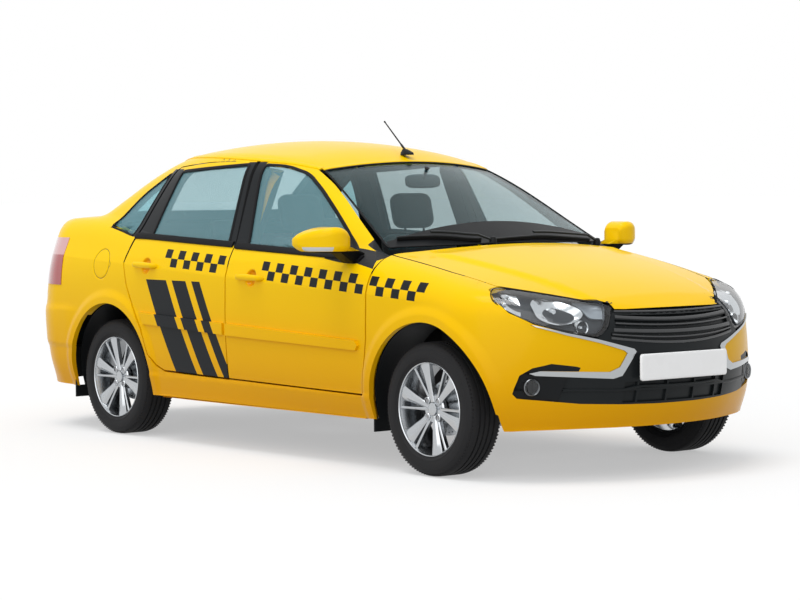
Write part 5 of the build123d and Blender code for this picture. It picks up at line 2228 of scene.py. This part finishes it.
@dataclass
class Pad:
    """One stuffed seat pad: a rounded block that is blown up like cloth over foam."""

    name: str
    size: Point
    centre: Point
    lean: float
    corner: float = 0.045
    swell: float = 0.022
    voxel: float = 0.010

    FRAMES = 20

    def place(self) -> Matrix:
        """Where the pad stands and how it leans."""
        return Matrix.Translation(self.centre) @ Matrix.Rotation(math.radians(self.lean), 4, "Y")

    def block(self) -> bpy.types.Mesh:
        """The block before it is blown up, a little smaller than the pad."""
        work = bmesh.new()
        bmesh.ops.create_cube(work, size=1.0)
        shrink = self.swell * 0.8
        for vert in work.verts:
            vert.co = Vector((v * max(s - shrink, 0.02) for v, s in zip(vert.co, self.size)))
        bmesh.ops.bevel(work, geom=work.edges[:], offset=self.corner, segments=4, affect="EDGES", profile=0.5)
        bmesh.ops.transform(work, matrix=self.place(), verts=work.verts)
        data = bpy.data.meshes.new(self.name)
        work.to_mesh(data)
        work.free()
        return data

    def applied(self, piece: bpy.types.Object) -> bpy.types.Mesh:
        """The piece's mesh with its modifiers applied."""
        graph = bpy.context.evaluated_depsgraph_get()
        return bpy.data.meshes.new_from_object(piece.evaluated_get(graph), depsgraph=graph)

    def build(self) -> bpy.types.Mesh:
        """Blow the pad up.

        Returns:
            The pad's finished mesh.
        """
        piece = place_piece(self.name, self.block())
        remesh = piece.modifiers.new("even", "REMESH")
        remesh.mode = "VOXEL"
        remesh.voxel_size = self.voxel
        even = self.applied(piece)
        piece.modifiers.remove(remesh)
        piece.data = even
        even = self.blown(piece, even)
        bpy.data.objects.remove(piece)
        return even

    def blown(self, piece: bpy.types.Object, even: bpy.types.Mesh) -> bpy.types.Mesh:
        """Run the cloth and keep each point's move, up to the swell."""
        scene = bpy.context.scene
        cloth = piece.modifiers.new("cloth", "CLOTH")
        settings = cloth.settings
        settings.quality = 4
        settings.use_pressure = True
        settings.uniform_pressure_force = 4.0
        settings.tension_stiffness = 12.0
        settings.bending_stiffness = 0.6
        settings.effector_weights.gravity = 0.0
        cloth.point_cache.frame_start = 1
        cloth.point_cache.frame_end = self.FRAMES
        for number in range(1, self.FRAMES + 1):
            scene.frame_set(number)
        made = self.applied(piece)
        count = len(even.vertices)
        start, end = np.empty(count * 3), np.empty(count * 3)
        even.vertices.foreach_get("co", start)
        made.vertices.foreach_get("co", end)
        move = (end - start).reshape(-1, 3)
        far = np.linalg.norm(move, axis=1)
        move *= (np.minimum(far, self.swell) / np.maximum(far, 1e-6))[:, None]
        even.vertices.foreach_set("co", (start.reshape(-1, 3) + move).ravel())
        piece.modifiers.remove(cloth)
        scene.frame_set(1)
        return even


class PadFace(Enum):
    """The stitched face of a pad, as the direction in which a needle goes in."""

    TOP = (0, 0, -1)
    FRONT = (-1, 0, 0)


@dataclass
class Seats:
    """Front seats and rear bench: stuffed cloth pads with stitched seams."""

    finishes: Finishes
    stitches: StitchRow
    seat_y: float = 0.350

    FRONT = (
        Pad("cushion", (0.50, 0.50, 0.125), (0.400, -0.350, 0.400), -4.0),
        Pad("back", (0.125, 0.49, 0.640), (0.010, -0.350, 0.720), -14.0),
        Pad("head", (0.100, 0.255, 0.190), (-0.104, -0.350, 1.122), -14.0, 0.045, 0.012),
    )
    BENCH = (
        Pad("bench_cushion", (0.400, 1.190, 0.125), (-0.385, 0.0, 0.395), -3.0),
        Pad("bench_back", (0.115, 1.190, 0.540), (-0.668, 0.0, 0.705), -19.0),
        Pad("bench_head_right", (0.085, 0.240, 0.110), (-0.765, -0.300, 1.030), -10.0, 0.032, 0.010),
        Pad("bench_head_left", (0.085, 0.240, 0.110), (-0.765, 0.300, 1.030), -10.0, 0.032, 0.010),
    )

    STITCH = {"Spacing": 0.009, "Thickness": 0.0022, "Length": 0.006}
    SIDE_COVER = ((-0.22, -0.03), (0.22, -0.03), (0.21, 0.04), (-0.21, 0.06))

    def seams(self, pad: Pad, data: bpy.types.Mesh, places: Sequence[float],
              face: PadFace) -> list[bpy.types.Mesh]:
        """Stitched seams along a pad's face.

        Args:
            pad: the pad.
            data: its blown-up mesh.
            places: where across the pad the seams run.
            face: the face that is stitched.

        Returns:
            The stitches' meshes.
        """
        tree = BVHTree.FromPolygons([v.co[:] for v in data.vertices], [p.vertices[:] for p in data.polygons])
        place = pad.place()
        made = []
        for y in places:
            path = []
            for t in np.linspace(-0.40, 0.40, 40):
                top = face is PadFace.TOP
                local = (t * pad.size[0], y, pad.size[2]) if top else (pad.size[0], y, t * pad.size[2])
                hit = tree.ray_cast(place @ Vector(local), place.to_3x3() @ Vector(face.value))
                if hit[0] is not None:
                    path.append(hit[0][:])
            if len(path) > 3:
                size = {**self.STITCH, "Material": self.finishes.thread}
                made.append(self.stitches.run(np.array(path), size))
        return made

    def group(self, pads: Sequence[Pad]) -> tuple[list[bpy.types.Mesh], list[bpy.types.Mesh]]:
        """Blow up a seat's pads and stitch them."""
        soft, thread = [], []
        for pad in pads:
            data = pad.build()
            soft.append(finish_mesh(data, [self.finishes.cloth], 60.0))
            spread = pad.size[1] / 2
            if spread > 0.2:
                face = PadFace.TOP if pad.size[2] < pad.size[0] else PadFace.FRONT
                thread += self.seams(pad, data, (-spread * 0.62, spread * 0.62), face)
        return soft, thread

    def frame(self) -> bpy.types.Mesh:
        """Side covers and head rest posts of the right front seat."""
        shape = Shape()
        for y in (-0.545, -0.155):
            place = Matrix(((1, 0, 0, 0.38), (0, 0, 1, y - 0.014), (0, 1, 0, 0.300), (0, 0, 0, 1)))
            shape.slab(np.array(self.SIDE_COVER), place, 0.028, 0.004)
        for y in (-0.41, -0.29):
            place = facing((-0.074, y, 0.94), Vector((-0.11, 0, 1.0)))
            shape.turned([(0.0, 0.0), (0.006, 0.0), (0.006, 0.12), (0.0, 0.12)], 16, place)
        return shape.mesh("seat_frame", [self.finishes.cabin])

    def build(self) -> None:
        """Make the seats."""
        soft, thread = self.group(self.FRONT)
        right = joined("front_seat_pads", soft)
        extra = joined("front_seat_trim", thread + [self.frame()])
        left, left_extra = right.copy(), extra.copy()
        turn = Matrix.Translation((0, 2 * self.seat_y, 0))
        left.transform(turn)
        left_extra.transform(turn)
        pads = place_piece("front_seat_pads", joined("front_seat_pads", [right, left]))
        trim = place_piece("front_seat_trim", joined("front_seat_trim", [extra, left_extra]))
        stand_in(pads, "front_seats", "seat_cloth")
        soft, thread = self.group(self.BENCH)
        bench = place_piece("rear_bench_pads", joined("rear_bench_pads", soft))
        stand_in(bench, "rear_bench", "seat_cloth")
        seams = place_piece("rear_bench_seams", joined("rear_bench_seams", thread))
        for piece in (trim, seams):
            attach(piece, "body")


@dataclass
class Aerial:
    """Roof aerial: a low rubber foot and a thin leaning rod."""

    finishes: Finishes
    foot: Point = (0.289, 0.0, 1.402)
    tip: Point = (0.111, 0.0, 1.563)

    FOOT = (
        (-0.006, 0.042, -0.050, 0.020), (0.004, 0.040, -0.048, 0.019), (0.012, 0.022, -0.044, 0.014),
        (0.022, -0.004, -0.036, 0.009),
    )

    def build(self) -> None:
        """Make the aerial."""
        shape = Shape()
        rings = []
        for height, front, back, half in self.FOOT:
            middle, reach = (front + back) / 2, (front - back) / 2
            ring = []
            for k in range(20):
                a = 2 * math.pi * k / 20
                x = self.foot[0] + middle + reach * math.cos(a)
                ring.append((x, half * math.sin(a), self.foot[2] + height))
            rings.append(ring)
        shape.loops(rings)
        start, end = Vector(self.foot) + Vector((-0.012, 0, 0.012)), Vector(self.tip)
        length = (end - start).length
        rod = facing(tuple(start), end - start)
        shape.turned([(0.0, 0.0), (0.0060, 0.0), (0.0052, 0.045), (0.0036, 0.055), (0.0030, length - 0.012),
                      (0.0042, length - 0.010), (0.0042, length - 0.003), (0.0, length)], 14, rod)
        piece = place_piece("aerial", shape.mesh("aerial", [self.finishes.black], 45.0))
        stand_in(piece, "antenna", "black_plastic")


@dataclass
class CabinTrim:
    """Inside mirror with its stalk and the glasses of the door mirrors."""

    finishes: Finishes
    centre: Point = (0.395, 0.0, 1.268)
    width: float = 0.235
    height: float = 0.066
    door_spot: Point = (0.7385, -0.925, 1.006)

    def oval(self, width: float, height: float) -> Array:
        """A long rounded outline."""
        a = np.linspace(0, 2 * math.pi, 40, endpoint=False)
        x, y = np.cos(a), np.sin(a)
        across = width / 2 * np.sign(x) * np.abs(x) ** 0.5
        up = height / 2 * np.sign(y) * np.abs(y) ** 0.6
        return np.stack([across, up], 1)

    def inside_mirror(self) -> None:
        """The mirror behind the windshield."""
        f = self.finishes
        shape = Shape()
        back = facing(self.centre, Vector((1.0, 0.12, 0.10)))
        shape.slab(self.oval(self.width, self.height), back, 0.018, 0.008, 0)
        glass = facing(self.centre, Vector((-1.0, -0.12, -0.10)))
        shape.slab(self.oval(self.width - 0.008, self.height - 0.008), glass, 0.002, 0.0005, 1)
        x, y, z = self.centre
        stalk = facing((x + 0.012, y, z + 0.01), Vector((0.03, 0.0, 0.06)))
        shape.turned([(0.0, 0.0), (0.008, 0.0), (0.007, 0.05), (0.014, 0.062), (0.0, 0.064)], 18, stalk, 0)
        data = shape.mesh("inside_mirror", [f.cabin, f.mirror_glass])
        add_on("inside_mirror", data, "body")

    def door_mirrors(self) -> None:
        """Silvered glasses in the door mirrors."""
        for side in SIDES:
            shape = Shape()
            turned = facing(self.door_spot, Vector((-0.945, 0.33, 0.0)))
            shape.slab(self.oval(0.132, 0.078), turned, 0.004, 0.001)
            if side == "left":
                shape.flip()
            name = f"mirror_glass_{side}"
            add_on(name, shape.mesh(name, [self.finishes.mirror_glass]), f"front_door_{side}")

    def build(self) -> None:
        """Make the mirrors."""
        self.inside_mirror()
        self.door_mirrors()


@dataclass
class TrunkLining:
    """Dark side boards that close the trunk off from the wheel arches."""

    finishes: Finishes
    centre_x: float = -1.375
    length: float = 0.90
    side: float = 0.485
    low: float = 0.455
    high: float = 0.900
    wall: float = 0.004

    def board(self) -> Array:
        """Outline of one flat board."""
        x, y = self.length / 2, (self.high - self.low) / 2
        return np.array([(-x, -y), (x, -y), (x, y), (-x, y)])

    def build(self) -> None:
        """Make the lining."""
        shape = Shape()
        spot = (self.centre_x, -self.side, (self.low + self.high) / 2)
        shape.slab(self.board(), facing(spot, Vector((0.0, 1.0, 0.0))), self.wall)
        shape.mirrored()
        data = shape.mesh("trunk_lining", [self.finishes.cloth])
        add_on("trunk_lining", data, "body")


@dataclass
class Undressed:
    """Solids whose own shape is kept, with their finish."""

    finishes: Finishes

    def dress(self) -> None:
        """Give each kept node its finish."""
        f = self.finishes
        kept = {
            "fog_lamps": f.black, "arch_liners": f.black, "floor_pan": f.under,
            "fuel_tank": f.under, "engine": f.cast, "exhaust": f.steel, "front_suspension": f.steel,
            "rear_axle": f.steel,
        }
        for side in SIDES:
            kept[f"knuckle_{side}"] = f.cast
        for node, finish in kept.items():
            data = frame["nodes"][node].data
            data.materials.clear()
            data.materials.append(finish)
            LOG.info("node %s keeps its solid", node)


# Studio

@dataclass(frozen=True)
class Studio:
    """Plain white studio with a pale floor, soft light and the photograph's camera."""

    eye: Point = (9.33065, -7.46477, 1.25048)
    turn: float = math.radians(50.659)
    dip: float = math.radians(2.706)
    roll: float = math.radians(0.380)
    lens: float = 109.325
    sensor: float = 36.0
    floor_half: float = 150.0
    floor_colour: Colour = (0.50, 0.50, 0.50)
    floor_glow: float = 0.44
    room: float = 0.62
    room_colour: Colour = (0.97, 0.985, 1.0)

    LAMPS = (("overhead", 1.26, 30.0, 12.0, -20.0), ("front_fill", 1.00, 60.0, 62.0, 30.0))

    def camera(self) -> None:
        """Put the camera where the photograph was taken."""
        ahead = Vector((
            -math.sin(self.turn) * math.cos(self.dip),
            math.cos(self.turn) * math.cos(self.dip),
            -math.sin(self.dip),
        ))
        level = Vector((math.cos(self.turn), math.sin(self.turn), 0.0))
        below = ahead.cross(level)
        right = level * math.cos(self.roll) + below * math.sin(self.roll)
        down = below * math.cos(self.roll) - level * math.sin(self.roll)
        data = bpy.data.cameras.new("camera")
        data.sensor_fit = "HORIZONTAL"
        data.sensor_width = self.sensor
        data.lens = self.lens
        data.clip_end = 400.0
        camera = bpy.data.objects.new("camera", data)
        turned = Matrix((right, -down, -ahead)).transposed().to_4x4()
        camera.matrix_world = Matrix.Translation(self.eye) @ turned
        bpy.context.scene.collection.objects.link(camera)
        bpy.context.scene.camera = camera

    def _seen(self, graph: Graph) -> Shade:
        """1 for rays from the camera, from gloss and through glass."""
        path = graph.node("ShaderNodeLightPath", out="Is Camera Ray").socket.node.outputs
        names = ("Is Camera Ray", "Is Glossy Ray", "Is Transmission Ray")
        camera, glossy, through = (Shade(graph, path[name]) for name in names)
        return graph.ramp(camera + glossy + through)

    def floor(self) -> None:
        """Pale floor that keeps the car's soft shadow."""
        graph = Graph("studio_floor")
        matte = graph.node("ShaderNodeBsdfDiffuse", None, {"Color": (*self.floor_colour, 1.0)})
        strength = self._seen(graph) * self.floor_glow
        glow = graph.node("ShaderNodeEmission", None, {"Color": (1, 1, 1, 1), "Strength": strength})
        material = graph.surface(graph.node("ShaderNodeAddShader", None, {0: matte, 1: glow}))
        h = self.floor_half
        data = bpy.data.meshes.new("studio_floor")
        data.from_pydata([(-h, -h, 0), (h, -h, 0), (h, h, 0), (-h, h, 0)], [], [(0, 1, 2, 3)])
        data.materials.append(material)
        floor = bpy.data.objects.new("studio_floor", data)
        bpy.context.scene.collection.objects.link(floor)

    def light(self) -> None:
        """Soft light from the whole room, a broad lamp above and one from the front."""
        world = bpy.data.worlds.new("studio")
        world.use_nodes = True
        bpy.context.scene.world = world
        tree = world.node_tree
        tree.nodes.clear()
        path = tree.nodes.new("ShaderNodeLightPath")
        rays = path.outputs["Is Camera Ray"]
        for name in ("Is Glossy Ray", "Is Transmission Ray"):
            either = tree.nodes.new("ShaderNodeMath")
            either.operation = "MAXIMUM"
            tree.links.new(rays, either.inputs[0])
            tree.links.new(path.outputs[name], either.inputs[1])
            rays = either.outputs[0]
        room = tree.nodes.new("ShaderNodeBackground")
        room.inputs["Color"].default_value = (*self.room_colour, 1.0)
        room.inputs["Strength"].default_value = self.room
        white = tree.nodes.new("ShaderNodeBackground")
        white.inputs["Color"].default_value = (1.0, 1.0, 1.0, 1.0)
        choose = tree.nodes.new("ShaderNodeMixShader")
        tree.links.new(rays, choose.inputs[0])
        tree.links.new(room.outputs[0], choose.inputs[1])
        tree.links.new(white.outputs[0], choose.inputs[2])
        out = tree.nodes.new("ShaderNodeOutputWorld")
        tree.links.new(choose.outputs[0], out.inputs["Surface"])
        for name, energy, spread, tilt, swing in self.LAMPS:
            data = bpy.data.lights.new(name, "SUN")
            data.energy = energy
            data.angle = math.radians(spread)
            lamp = bpy.data.objects.new(name, data)
            lamp.rotation_euler = (math.radians(tilt), 0.0, math.radians(swing))
            bpy.context.scene.collection.objects.link(lamp)

    def build(self) -> None:
        """Set up camera, floor and light."""
        bpy.context.scene.view_settings.view_transform = "Standard"
        self.camera()
        self.floor()
        self.light()


def main() -> None:
    """Build the sedan piece by piece."""
    logging.basicConfig(level=logging.INFO, format="%(message)s")
    Studio().build()
    finishes = Finishes()
    sweep, studs, stitches = Sweep(), StudRing(), StitchRow()
    BodyShell(finishes).build()
    Wheels(finishes, studs).build()
    Headlamps(finishes, sweep).build()
    Nose(finishes, sweep, stitches).build()
    Seals(finishes, sweep).build()
    Handles(finishes).build()
    for side in SIDES:
        Smoothed(f"mirror_{side}", [finishes.mirror], "body_paint", 40.0).build()
    Smoothed("dashboard", [finishes.cabin], "cabin_plastic", 30.0, 0.012).build()
    Smoothed("steering_wheel", [finishes.cabin], "cabin_plastic", 45.0).build()
    Aerial(finishes).build()
    CabinTrim(finishes).build()
    TrunkLining(finishes).build()
    Seats(finishes, stitches).build()
    Undressed(finishes).dress()


if __name__ == "__main__":
    main()
